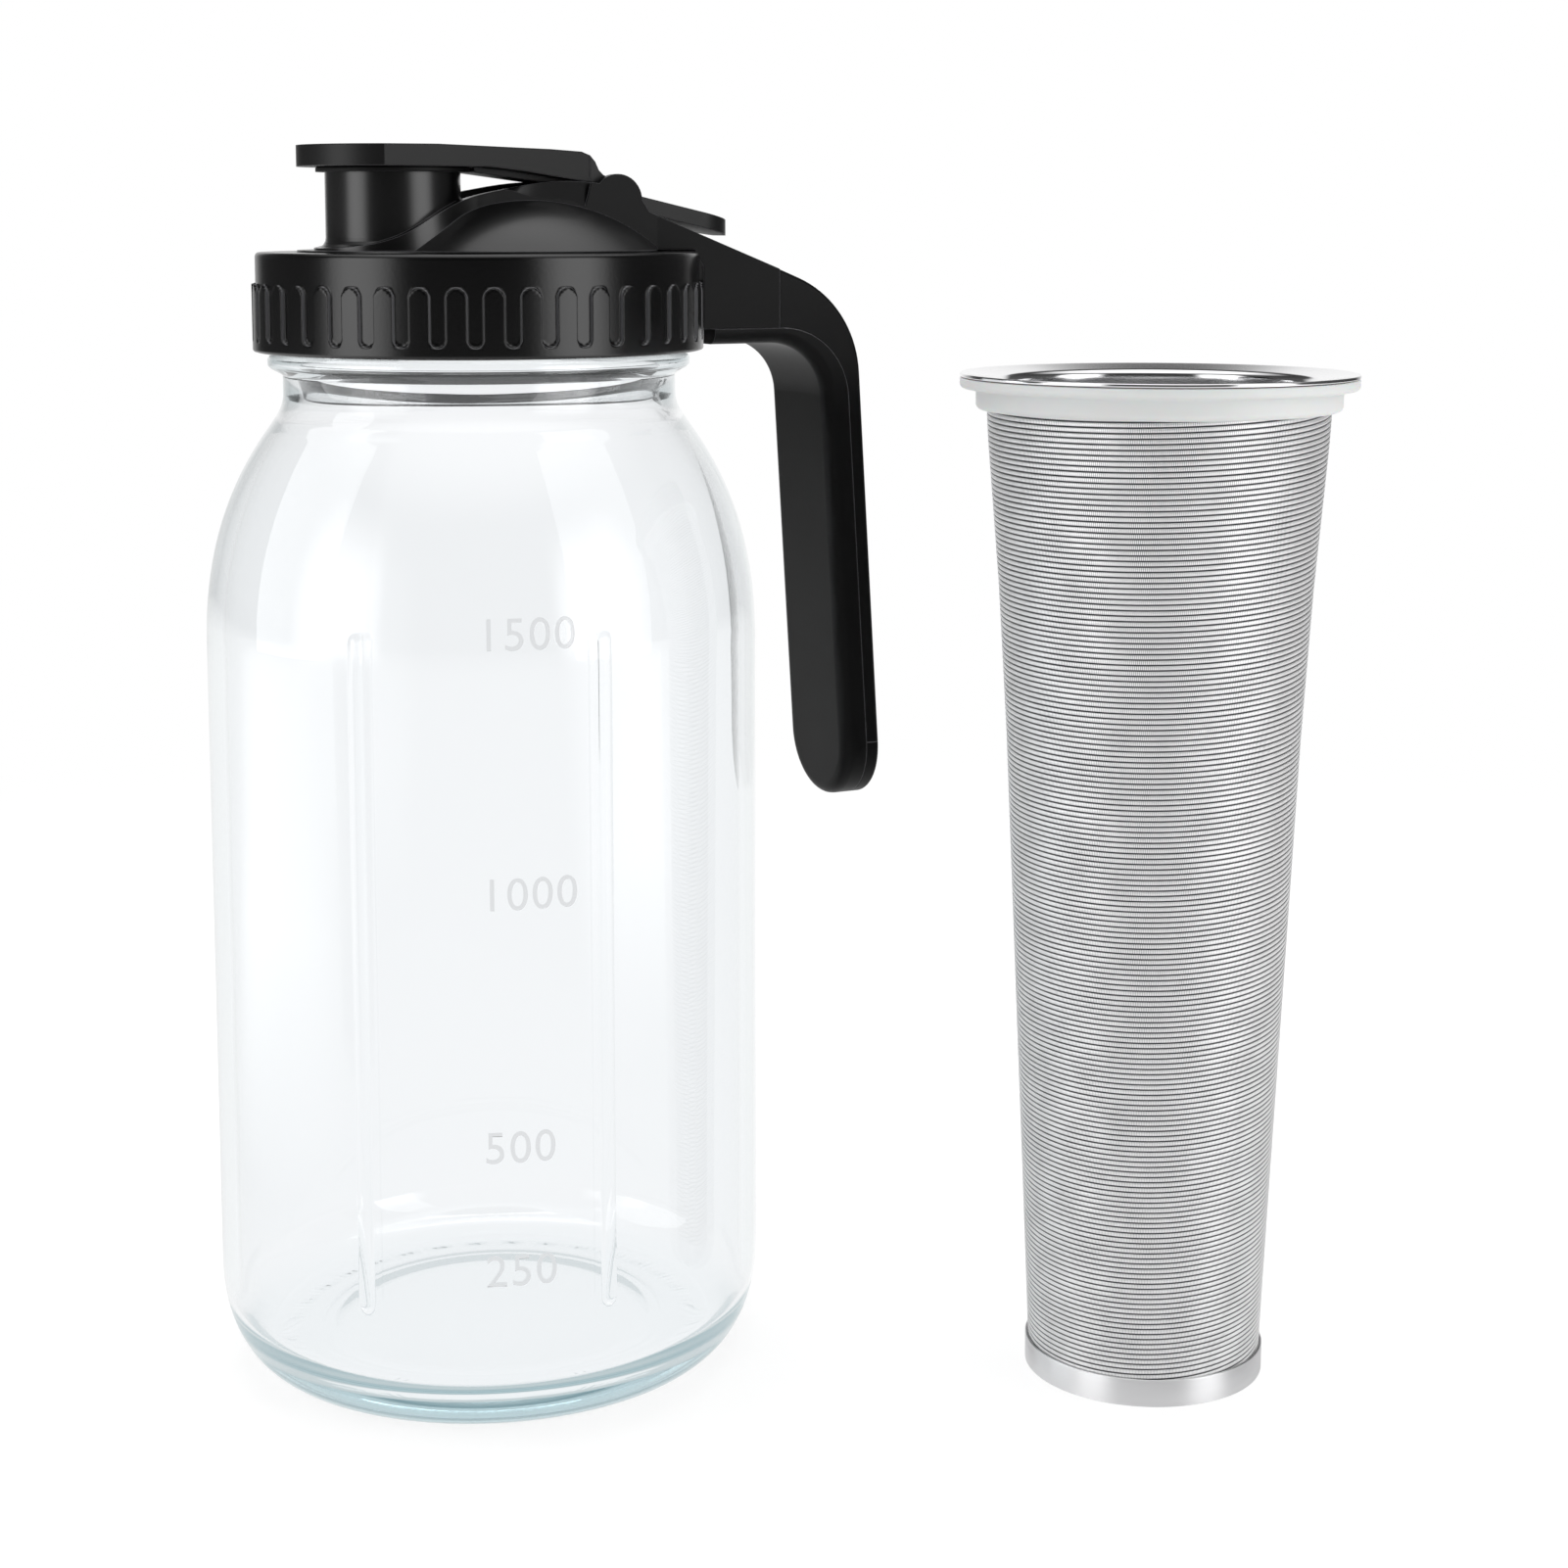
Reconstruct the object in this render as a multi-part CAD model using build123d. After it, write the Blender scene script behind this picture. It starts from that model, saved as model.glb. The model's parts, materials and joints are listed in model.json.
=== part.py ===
from build123d import *
import os
from math import cos, pi, radians, sin, sqrt, tan

# Cold brew maker: a half gallon glass jar with a pouring lid, and its steel mesh filter standing beside it.
# Millimetres, +Z up, table at z = 0, origin in the middle of the pair. The front of the jar faces -Y.

# ---- driving sizes ----
# glass jar
jar_height = 230.0
jar_radius = 58.0
jar_wall = 3.5
jar_floor = 7.5
heel_radius = 20.0
heel_inset = 13.0               # from the jar's side in to the outer edge of its foot
foot_width = 11.5
push_up_depth = 2.2
inner_heel_radius = 9.0
mouth_radius = 38.0
neck_wall = 3.1
neck_length = 24.0              # from the rim down to the shoulder
shoulder_length = 50.0
bead_proud = 3.1
bead_height = 3.2
bead_below_band = 0.4
rib_width = 3.2
rib_proud = 0.7
rib_bottom = 27.0
rib_past_shoulder = 8.0         # how far the ribs run on above the foot of the shoulder
rib_angles = (-19.3, 30.0)      # from the front of the jar, towards +X

# screw thread shared by the jar and the band
thread_pitch = 5.08
thread_proud = 1.9              # jar thread's crest above the neck
thread_turns = 1.25
thread_below_rim = 10.4         # from the rim down to the thread's middle where it begins
thread_root_width = 2.2
thread_crest_width = 1.0
thread_gap = 0.6                # crest of one thread to the root of the other
thread_sink = 0.4               # how far a thread's root is buried in its wall

# screw band
band_height = 20.5
band_neck_gap = 3.3             # from the neck out to the inside of the skirt
band_skirt_wall = 1.9
band_flange = 2.5
grip_proud = 0.8
grip_count = 40
grip_width = 4.2
grip_top = 6.4                  # below the top of the band
grip_bottom = 18.2
grip_turn = 2.0                 # degrees from the front to the nearest tongue

# gasket and lid plate
gasket_thickness = 2.0
gasket_reach_in = 0.8           # past the mouth
gasket_reach_out = 0.3          # past the neck
lid_flange = 2.5
lid_flange_overhang = 0.9       # past the neck
lid_wall = 2.0
lid_flange_gap = 0.1            # lid flange to band flange
lid_boss_gap = 0.4              # lid boss to band opening
dome_centre = 7.2
dome_base = 0.4                 # above the top of the band, as are the lid heights below
dome_top = 12.0
dome_sphere_radius = 48.9

# spout
spout_edge_margin = 2.6         # plate left outside the spout's foot
spout_radius = 13.9
spout_wall = 2.05
spout_top = 16.4
spout_foot_flare = 2.45
spout_foot_top = 3.0
spout_foot_edge = 0.3           # height of the foot's outer edge

# saddle walls and hinge
saddle_half_width = 11.5
saddle_wall = 2.0
saddle_start_height = 0.9
saddle_curve = ((0.103, 0.05), (0.227, 0.22), (0.366, 0.55), (0.5, 0.775), (0.6145, 0.885), (0.772, 1.0))
collar_blend = 20.0             # rounding in plan where the spout's collar runs into the straight walls
ribbon_lean = 1.4               # how far the top edge of a wall leans in
ribbon_drop = 4.2               # and how deep that leaning face is
ribbon_fade = ((0.625, 0.0), (0.69, 0.3), (0.77, 0.75), (0.89, 1.0))    # shares: along the edge, of the drop
ribbon_entry = 0.3              # how far above the wall the lean begins
ribbon_crease = (3.6, 5.1)      # slanting end of the leaning face, from the ear's front
pivot_set_in = 10.6             # from the edge of the plate
pivot_below_spout = 5.7
ear_radius = 5.5
pin_radius = 1.5
pin_blind_wall = 0.7            # plastic left between a pin's end and the outside of an ear
pin_running_gap = 0.05
hub_radius = 4.4
hub_side_gap = 0.3
hub_trough_gap = 0.6

# flip cap and its plug
cap_overhang = 5.7              # past the spout
cap_thickness = 4.35
cap_crown = 0.1                 # how far the arm swells above the disc
cap_flat_start = 7.8            # where the arm's straight sides begin, in front of the spout's axis
cap_arm_gap = 0.5               # arm to each saddle wall where it meets the hub
cap_rib_half_width = 5.0        # stiffening rib under the arm
cap_rib_gap = 0.25              # from the plug's flange to the rib
tab_side_gap = 1.0              # tab to each wall of the thumb channel
tab_length = 29.6               # from the pivot
tab_drop = 4.3                  # tip of the tab below the pivot
tab_thickness = 3.2
tab_slope = 12.2                # degrees below level
plug_flange_reach = 1.85        # past the spout
plug_flange = 1.05
plug_depth = 4.0
plug_gap = 0.2
plug_taper = 0.5

# handle
handle_azimuth = 27.0           # from +X towards +Y
handle_half_width = 13.5
arm_wall = 2.2
arm_band_gap = 0.9
arm_over_band_gap = 0.4
arm_floor = 1.1
arm_length = 16.0               # from the band out to the handle's seam
arm_flare = 28.0                # the last part of the arm, over which it widens
arm_seam_top = -3.85
arm_slope = 22.1                # degrees below level
channel_wall = 6.0              # from the end of the thumb channel to the seam
bulkhead = 2.2
bridge_bevel = 2.0               # how far the bridge follows the rounded edge of the band
bridge_bevel_drop = 3.6
tongue_length = 10.0            # past the seam
tongue_half_width = 8.0
tongue_thickness = 3.4
leg_slope = 3.55                # degrees outwards, from upright
outer_bend_radius = 24.0
parting_bend_radius = 16.2
inner_bend_radius = 12.5
leg_side = 3.2                  # shell side of the leg
cover_side = 5.8                # cover side of the leg
cover_drop = 3.3                # cover under the arm
corner_from_jar = 25.0          # handle's outer corner, out from the jar's side
corner_from_seam = 19.0         # the same, out from the arm's seam
corner_to_parting = 5.1         # and how far the parting line lies below it
shell_wall = 2.2
cover_wall = 2.0
cover_rounding = 2.6
shell_rounding = 0.8
shell_end = -109.8
seam_gap = 0.1
screw_radius = 1.5
screw_head_radius = 2.8
screw_head_height = 1.3
screw_from_seam = 4.5
screw_spread = 5.0
screw_boss_radius = 3.2
screw_tip_wall = 1.0

# filter, standing beside the jar
filter_gap = 42.4               # from the jar's side to the filter's rim, along X
filter_forward = 13.5
filter_floor_gap = 13.2         # above the jar's floor, when the filter hangs in the jar
rim_set_in = 0.1                # in from the outside of the jar's neck
rim_lip_inset = 3.3             # rolled lip of the rim, in from the mesh
rim_sheet = 0.8
rim_dish = 1.0
rim_curl = 1.4
seal_flange = 2.4
seal_mouth_gap = 0.4            # seal's skirt to the jar's mouth
seal_skirt_wall = 2.3
seal_skirt_height = 4.4
mesh_thickness = 0.6
mesh_top_straight = 7.0         # below the rim
mesh_bottom = 1.0
mesh_past_band = 0.7            # how far the mesh stays straight above the bottom band
mesh_flare = ((0.13, 0.11), (0.40, 0.34), (0.66, 0.56), (0.82, 0.74), (0.97, 0.97))  # shares: up, outwards
collar_sheet = 0.5
collar_depth = 5.6
base_band_radius = 25.25
base_band_height = 5.8
base_band_sheet = 0.5
base_disc_sheet = 0.6
touch = 0.05                    # clearance of pieces that are spot welded or snapped together

# ---- sizes that follow ----
foot_radius = jar_radius - heel_inset
push_up_radius = foot_radius - foot_width
neck_radius = mouth_radius + neck_wall
shoulder_top = jar_height - neck_length
shoulder_bottom = shoulder_top - shoulder_length
bead_radius = neck_radius + bead_proud
rib_top = shoulder_bottom + rib_past_shoulder
thread_crest_radius = neck_radius + thread_proud
thread_start = jar_height - thread_below_rim

band_top = jar_height + gasket_thickness + lid_flange + lid_flange_gap + band_flange
band_bottom = band_top - band_height
band_inner_radius = neck_radius + band_neck_gap
band_top_radius = band_inner_radius + band_skirt_wall
band_grip_radius = band_top_radius + grip_proud
band_opening_radius = mouth_radius
band_thread_crest = neck_radius + thread_sink + thread_gap + 0.1

plate_radius = band_opening_radius - lid_boss_gap
spout_bore = spout_radius - spout_wall
spout_foot_radius = spout_radius + spout_foot_flare
spout_offset = plate_radius - spout_edge_margin - spout_foot_radius     # away from the handle
saddle_start = -spout_offset - spout_foot_radius
inside_walls = saddle_half_width - saddle_wall
pivot_reach = plate_radius - pivot_set_in
pivot_height = spout_top - pivot_below_spout
ear_front = (pivot_reach - ear_radius * sin(radians(50)), pivot_height + ear_radius * cos(radians(50)))
pin_half_length = saddle_half_width - pin_blind_wall / 2
cap_half_hub = inside_walls - hub_side_gap
cap_arm_width = inside_walls - cap_arm_gap
cap_disc_radius = spout_radius + cap_overhang
cap_bottom = spout_top + plug_flange
tab_half_width = inside_walls - tab_side_gap
tab_tip = pivot_reach + tab_length
plug_flange_radius = spout_radius + plug_flange_reach

arm_start = band_grip_radius + arm_band_gap
arm_seam = arm_start + arm_length
screw_reach = arm_seam + screw_from_seam
# the handle stands clear of both the jar's side and the band
outer_corner_reach = max(jar_radius + corner_from_jar, arm_seam + corner_from_seam)
arm_parting = arm_seam_top - (outer_corner_reach - arm_seam) * tan(radians(arm_slope)) - corner_to_parting

rim_radius = neck_radius - rim_set_in
filter_height = jar_height - jar_floor - filter_floor_gap + seal_flange + rim_sheet
seal_skirt_radius = mouth_radius - seal_mouth_gap
mesh_top_radius = seal_skirt_radius - seal_skirt_wall
mesh_bottom_radius = base_band_radius - base_band_sheet - 3 * touch
rim_opening_radius = mesh_top_radius - rim_lip_inset
filter_distance = jar_radius + filter_gap + rim_radius
jar_x = -(filter_distance + rim_radius - jar_radius) / 2
filter_x = jar_x + filter_distance
filter_y = -filter_forward


def turned(points):
    """Closed outline of (radius, height) points turned about Z."""
    return revolve(make_face(Plane.XZ * Polyline(*points, close=True)), Axis.Z)


def ring(inner, outer, bottom, top):
    return turned([(inner, bottom), (outer, bottom), (outer, top), (inner, top)])


def side_plate(outline, half_width):
    """Outline of (reach, height) points in the lid's middle plane, as thick as the two half widths."""
    return extrude(make_face(Plane.XZ * outline), half_width, both=True)


def slab(x0, x1, half_width, z0, z1):
    return Pos((x0 + x1) / 2, 0, (z0 + z1) / 2) * Box(x1 - x0, 2 * half_width, z1 - z0)


def across(radius, half_length, reach, height):
    """A rod that lies across the lid at the given reach and height."""
    return Pos(reach, 0, height) * Rot(90, 0, 0) * Cylinder(radius, 2 * half_length)


def place_lid(shape):
    return Pos(jar_x, 0, band_top) * Rot(0, 0, handle_azimuth) * shape


def place_filter(shape):
    return Pos(filter_x, filter_y, 0) * shape


def thread(root, crest, first_degrees, turns, middle):
    """A helical ridge with sloping flanks, from its root radius to its crest radius."""
    outline = Polyline(
        (root, 0, -thread_root_width / 2),
        (crest, 0, -thread_crest_width / 2),
        (crest, 0, thread_crest_width / 2),
        (root, 0, thread_root_width / 2),
        close=True,
    )
    path = Helix(thread_pitch, thread_pitch * turns, (root + crest) / 2)
    ridge = sweep(make_face(outline), path=path, is_frenet=True)
    return Pos(0, 0, middle) * Rot(0, 0, first_degrees) * ridge


# ---- jar ----
def glass_jar():
    bead_top = band_bottom - bead_below_band
    bead_bottom = bead_top - bead_height
    outside = Plane.XZ * (
        Polyline(
            (0, push_up_depth), (push_up_radius, push_up_depth), (push_up_radius + 1.5, 0), (foot_radius, 0)
        )
        + ThreePointArc(
            (foot_radius, 0),
            (jar_radius - heel_radius * (1 - sin(radians(52))), heel_radius * (1 - cos(radians(52))) + 0.9),
            (jar_radius, heel_radius + 1.4),
        )
        + Line((jar_radius, heel_radius + 1.4), (jar_radius, shoulder_bottom))
        + Bezier(
            (jar_radius, shoulder_bottom),
            (jar_radius, shoulder_bottom + 26),
            (neck_radius + 7.0, shoulder_top - 10),
            (neck_radius, shoulder_top - 1),
        )
        + Polyline(
            (neck_radius, shoulder_top - 1),
            (neck_radius, bead_bottom - 1),
            (bead_radius, bead_bottom + 0.6),
            (bead_radius, bead_top - 0.6),
            (neck_radius, bead_top),
            (neck_radius, jar_height - 0.8),
            (neck_radius - 0.8, jar_height),
            (0, jar_height),
            (0, push_up_depth),
        )
    )
    inner_radius = jar_radius - jar_wall
    inside = Plane.XZ * (
        Line((0, jar_floor), (inner_radius - inner_heel_radius, jar_floor))
        + ThreePointArc(
            (inner_radius - inner_heel_radius, jar_floor),
            (
                inner_radius - inner_heel_radius * (1 - sin(pi / 4)),
                jar_floor + inner_heel_radius * (1 - cos(pi / 4)),
            ),
            (inner_radius, jar_floor + inner_heel_radius),
        )
        + Line((inner_radius, jar_floor + inner_heel_radius), (inner_radius, shoulder_bottom))
        + Bezier(
            (inner_radius, shoulder_bottom),
            (inner_radius, shoulder_bottom + 24),
            (mouth_radius + 6.5, shoulder_top - 9),
            (mouth_radius, shoulder_top + 1),
        )
        + Polyline(
            (mouth_radius, shoulder_top + 1),
            (mouth_radius, jar_height + 1),
            (0, jar_height + 1),
            (0, jar_floor),
        )
    )
    body = revolve(make_face(outside), Axis.Z) - revolve(make_face(inside), Axis.Z)
    body += thread(neck_radius - thread_sink, thread_crest_radius, 0, thread_turns, thread_start)
    for angle in rib_angles:
        reach = jar_radius + rib_proud - rib_width / 2
        middle = (rib_bottom + rib_top) / 2
        rib = Pos(reach, 0, middle) * Cylinder(rib_width / 2, rib_top - rib_bottom)
        body += Rot(0, 0, angle - 90) * rib
    return Pos(jar_x, 0, 0) * body


# ---- screw band ----
def screw_band():
    skirt = turned([
        (band_opening_radius, -band_flange),
        (band_opening_radius, -0.6),
        (band_opening_radius + 0.6, 0),
        (band_top_radius - 1.0, 0),
        (band_top_radius, -1.0),
        (band_top_radius, -grip_bottom),
        (band_grip_radius, -grip_bottom),
        (band_grip_radius, -band_height + 0.4),
        (band_grip_radius - 0.4, -band_height),
        (band_inner_radius, -band_height),
        (band_inner_radius, -band_flange),
    ])
    grip_height = grip_bottom - grip_top
    tongue = Pos(band_grip_radius - 1.2, 0, -(grip_bottom + grip_top) / 2) * (
        Rot(0, 90, 0) * extrude(SlotOverall(grip_height + grip_width / 2, grip_width), 1.2)
    )
    tongue &= Pos(band_grip_radius - 1.2, 0, -(grip_bottom + grip_top) / 2) * Box(6, grip_width, grip_height)
    for index in range(grip_count):
        skirt += Rot(0, 0, grip_turn - 90 + index * 360 / grip_count) * tongue
    # the band's ridge runs half a pitch below the jar's, and isn't turned with the lid
    band_first = 90
    band_thread_middle = thread_start - thread_pitch / 2 + thread_pitch * band_first / 360 - band_top
    ridge = thread(band_inner_radius + thread_sink, band_thread_crest, band_first, 1.0, band_thread_middle)
    return Pos(jar_x, 0, band_top) * (skirt + ridge)


def lid_gasket():
    bottom = jar_height - band_top
    inner, outer = mouth_radius - gasket_reach_in, neck_radius + gasket_reach_out
    return place_lid(ring(inner, outer, bottom, bottom + gasket_thickness))


# ---- lid body ----
def outer_top_height(reach):
    """Height of the arm's sloping top edge."""
    return arm_seam_top + (arm_seam - reach) * tan(radians(arm_slope))


def dome_blank(thinner=0.0):
    centre = dome_top - dome_sphere_radius
    ball = Pos(dome_centre, 0, centre) * Sphere(dome_sphere_radius - thinner)
    keep = Pos(0, 0, dome_base - lid_wall + 20) * Cylinder(plate_radius - thinner, 40)
    return ball & keep


def saddle_edge():
    """Top edge of a saddle wall, from the front of the spout's foot over the dome to the ear."""
    start = (saddle_start, saddle_start_height)
    along, up = ear_front[0] - start[0], ear_front[1] - start[1]
    between = [(start[0] + x * along, start[1] + z * up) for x, z in saddle_curve]
    return Spline(start, *between, ear_front)


def saddle_outline():
    """Side view of a saddle wall: spout foot, sweep up over the dome, ear, then the arm's top edge."""
    ear_back = pivot_reach + ear_radius
    ear = ThreePointArc(ear_front, (pivot_reach, pivot_height + ear_radius), (ear_back, pivot_height))
    valley = (ear_back + 1.6, outer_top_height(ear_back + 1.6))
    rest = Polyline(
        (ear_back, pivot_height),
        valley,
        (arm_seam, arm_seam_top),
        (arm_seam, -1.0 + arm_seam_top),
        (arm_start, arm_over_band_gap),
        (saddle_start, arm_over_band_gap),
        (saddle_start, saddle_start_height),
    )
    return saddle_edge() + ear + rest


def arm_plan(half_width_near, half_width_far):
    """Plan of the arm, whose half width grows from the ears to the handle's seam."""
    return make_face(Polyline(
        (-spout_offset, -half_width_near),
        (arm_seam - arm_flare, -half_width_near),
        (arm_seam, -half_width_far),
        (arm_seam, half_width_far),
        (arm_seam - arm_flare, half_width_near),
        (-spout_offset, half_width_near),
        close=True,
    ))


def collared_plan():
    """The arm's plan with a round collar about the spout, blended into the straight walls."""
    plan = arm_plan(saddle_half_width, handle_half_width) + Pos(-spout_offset, 0) * Circle(spout_foot_radius)
    meeting = -spout_offset + sqrt(spout_foot_radius**2 - saddle_half_width**2)
    return fillet([corner for corner in plan.vertices() if abs(corner.X - meeting) < 0.01], collar_blend)


def upright(plan):
    return Pos(0, 0, -30) * extrude(plan, 60)


def ribbon_cut():
    """What is taken off the outside of a saddle wall, on the far side, so that its face leans in."""
    edge = saddle_edge()
    above = pivot_height + 2 * ear_radius
    ends = []
    # the lean goes on inwards above the wall, so that it crosses the top of the wall half way
    for side, half_width in ((1, saddle_half_width - 2 * ribbon_lean), (-1, saddle_half_width)):
        curve = []
        for along, share in ribbon_fade:
            point = edge @ along
            curve.append((point.X, point.Y + side * ribbon_drop * share + ribbon_entry * (1 - share)))
        curve.append((ear_front[0] + side * ribbon_crease[0], ear_front[1] + side * ribbon_crease[1]))
        outline = Spline(*curve) + Polyline(curve[-1], (ear_front[0], above), (curve[0][0], above), curve[0])
        ends.append(Pos(0, half_width, 0) * make_face(Plane.XZ * outline))
    return loft(ends, ruled=True)


def lid_hollow():
    """The space under the lid: a shallow bore inside the flange, and the inside of the dome."""
    flange_bottom = jar_height + gasket_thickness - band_top
    roof = dome_base - lid_wall
    bore = Pos(0, 0, (flange_bottom + roof) / 2) * Cylinder(plate_radius - lid_wall, roof - flange_bottom)
    return bore + dome_blank(lid_wall)


def handle_arm():
    """Saddle walls, the bridge over the band, and the hollow beam outside it that carries the handle."""
    walls = side_plate(saddle_outline(), spout_foot_radius)
    for cut in (ribbon_cut(), mirror(ribbon_cut(), Plane.XZ)):
        walls -= cut
    beam_start = arm_start - bridge_bevel - 3
    beam = side_plate(
        Polyline(
            (beam_start, outer_top_height(beam_start)),
            (arm_seam, arm_seam_top),
            (arm_seam, arm_parting),
            (beam_start, arm_parting),
            close=True,
        ),
        handle_half_width,
    )
    bevel_end = arm_over_band_gap - bridge_bevel_drop
    band_space = turned([
        (0, arm_over_band_gap), (arm_start - bridge_bevel, arm_over_band_gap),
        (arm_start, bevel_end), (arm_start, -30), (0, -30),
    ])
    arm = (walls + (beam - band_space)) & upright(collared_plan())

    # the thumb channel: its floor lies on the bridge, then drops behind the band
    inside = upright(arm_plan(inside_walls, handle_half_width - arm_wall))
    bridge_floor = arm_over_band_gap + arm_floor
    channel_floor = bevel_end
    channel_end = arm_seam - channel_wall
    channel = side_plate(
        Polyline(
            (-spout_offset, bridge_floor),
            (arm_start - bridge_bevel - 0.5, bridge_floor),
            (arm_start + arm_floor, channel_floor),
            (channel_end, channel_floor),
            (channel_end, 30),
            (-spout_offset, 30),
            close=True,
        ),
        handle_half_width,
    )
    below = slab(arm_start, arm_seam - bulkhead, handle_half_width, -30, channel_floor - arm_floor)
    below -= Cylinder(arm_start + arm_wall, 80)
    return arm - (channel & inside) - (below & inside)


def lid_body():
    flange_bottom = jar_height + gasket_thickness - band_top
    flange_radius = neck_radius + lid_flange_overhang
    flange = Pos(0, 0, flange_bottom + lid_flange / 2) * Cylinder(flange_radius, lid_flange)
    boss = Pos(0, 0, (flange_bottom + dome_base) / 2) * Cylinder(plate_radius, dome_base - flange_bottom)
    dome = dome_blank() & (Pos(0, 0, 20) * Cylinder(plate_radius, 40))

    # the foot's concave flare is a quarter of an ellipse
    flare_height = spout_foot_top - dome_base - spout_foot_edge
    flare = [
        (spout_foot_radius + spout_foot_flare * cos(turn), spout_foot_top + flare_height * sin(turn))
        for turn in (radians(degrees) for degrees in (270, 252, 234, 216, 198, 180))
    ]
    foot = turned([(0, 0), (spout_foot_radius, 0), *flare, (0, spout_foot_top)])
    tube = Pos(0, 0, spout_top / 2) * Cylinder(spout_radius, spout_top)
    spout = Pos(-spout_offset, 0, 0) * (foot + tube)

    solid = flange + boss + dome + handle_arm() + spout - lid_hollow()
    solid -= Pos(-spout_offset, 0, 0) * Cylinder(spout_bore, 60)

    # tongue that carries the handle shell
    tongue_bottom = arm_parting + touch
    tongue_top = tongue_bottom + tongue_thickness
    solid += slab(arm_seam - bulkhead, arm_seam + tongue_length, tongue_half_width, tongue_bottom, tongue_top)
    for side in (-1, 1):
        solid -= Pos(screw_reach, side * screw_spread, -20) * Cylinder(screw_radius, 40)

    # trough that clears the cap's hub, and the pin's hole: open at the far ear, blind at the near one
    trough = across(hub_radius + hub_trough_gap + lid_wall, saddle_half_width, pivot_reach, pivot_height)
    solid += trough & dome_blank()
    solid -= across(hub_radius + hub_trough_gap, inside_walls, pivot_reach, pivot_height)
    solid -= Pos(0, pin_blind_wall / 2, 0) * across(pin_radius, pin_half_length, pivot_reach, pivot_height)
    return place_lid(solid)


# ---- flip cap ----
def by_pivot(reach, height):
    return (pivot_reach + reach, pivot_height + height)


def by_spout(reach, height):
    """A point measured from the middle of the cap's underside."""
    return (-spout_offset + reach, cap_bottom + height)


def flip_cap():
    slope = tan(radians(tab_slope))
    tip_height = pivot_height - tab_drop
    root_drop = tab_drop - tab_length * slope
    side = Polyline(
        by_spout(-cap_disc_radius - 1, 0),
        by_spout(-cap_disc_radius - 1, cap_thickness),
        by_spout(-cap_flat_start, cap_thickness),
        by_spout(4.2, cap_thickness + cap_crown),
        by_pivot(-14.8, 10.5),
        by_pivot(-7.4, 10.1),
        by_pivot(-5.4, 9.4),
        by_pivot(-4.2, 8.0),
        by_pivot(-3.4, 6.3),
        by_pivot(-2.4, 5.3),
        by_pivot(0, 4.4),
        by_pivot(3.0, 3.3),
        by_pivot(5.0, 0.2 - root_drop - 5.0 * slope),
        (tab_tip, tip_height),
        (tab_tip - 0.6, tip_height - tab_thickness),
        by_pivot(6.0, -root_drop - 6.0 * slope - tab_thickness),
        by_pivot(0, 0),
        by_pivot(-4.2, 0),
        by_pivot(-4.2, 3.6),
        by_pivot(-10.0, 4.4),
        by_pivot(-21.7, 6.0),
        by_spout(plug_flange_radius + cap_rib_gap, 0),
        close=True,
    )
    rib = Polyline(
        by_spout(plug_flange_radius + cap_rib_gap, cap_thickness / 2),
        by_spout(plug_flange_radius + cap_rib_gap, -plug_flange),
        by_pivot(-10.0, 3.2),
        by_pivot(-4.2, 2.4),
        by_pivot(-4.2, 6.0),
        close=True,
    )
    body = side_plate(side, cap_disc_radius + 1)
    flat_width = sqrt(cap_disc_radius**2 - cap_flat_start**2)
    flat_reach = -spout_offset - cap_flat_start
    tab_round = tab_tip - tab_half_width
    hub_front, hub_back = pivot_reach - hub_radius - 1, pivot_reach + hub_radius + 0.5
    half_plan = [
        (flat_reach, flat_width),
        (hub_front, cap_arm_width),
        (hub_front, cap_half_hub),
        (hub_back, cap_half_hub),
        (hub_back, tab_half_width),
        (tab_round, tab_half_width),
    ]
    arm = make_face(Polyline(*half_plan, *[(reach, -width) for reach, width in half_plan[::-1]], close=True))
    disc_front = Pos(-spout_offset, 0) * Circle(cap_disc_radius) & Pos(flat_reach - 25, 0) * Rectangle(50, 60)
    tab_end = Pos(tab_round, 0) * Circle(tab_half_width)
    body &= Pos(0, 0, -10) * extrude(arm + disc_front + tab_end, 50)
    body += side_plate(rib, cap_rib_half_width)
    body += across(hub_radius, cap_half_hub, pivot_reach, pivot_height)
    body -= across(pin_radius + pin_running_gap, 20, pivot_reach, pivot_height)
    return place_lid(body)


def cap_plug():
    top_radius = spout_bore - plug_gap
    plug = turned([
        (0, cap_bottom),
        (0, spout_top - plug_depth),
        (top_radius - plug_taper - 0.4, spout_top - plug_depth),
        (top_radius - plug_taper, spout_top - plug_depth + 0.4),
        (top_radius, spout_top - 0.1),
        (top_radius, spout_top),
        (plug_flange_radius, spout_top),
        (plug_flange_radius, cap_bottom - 0.3),
        (plug_flange_radius - 0.3, cap_bottom),
    ])
    return place_lid(Pos(-spout_offset, 0, 0) * plug)


def hinge_pin():
    rod = across(pin_radius, pin_half_length, pivot_reach, pivot_height)
    return place_lid(Pos(0, pin_blind_wall / 2, 0) * rod)


# ---- handle ----
def leg_reach(corner_reach, corner_height, height):
    """Reach of an edge of the leg at a height, from the sharp corner that its bend rounds off."""
    return corner_reach + (corner_height - height) * tan(radians(leg_slope))


outer_corner = (outer_corner_reach, outer_top_height(outer_corner_reach))
parting_corner = (leg_reach(*outer_corner, arm_parting) - leg_side, arm_parting)
inner_corner_height = arm_parting - cover_drop
inner_corner = (leg_reach(*outer_corner, inner_corner_height) - leg_side - cover_side, inner_corner_height)
leg_bottom = shell_end - handle_half_width


def edge_path(start, corner, bottom, radius):
    """Edge of the handle: along the arm, round its bend and down the leg."""
    foot = (leg_reach(*corner, bottom), bottom)
    return FilletPolyline(start, corner, foot, radius=radius), foot


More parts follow.
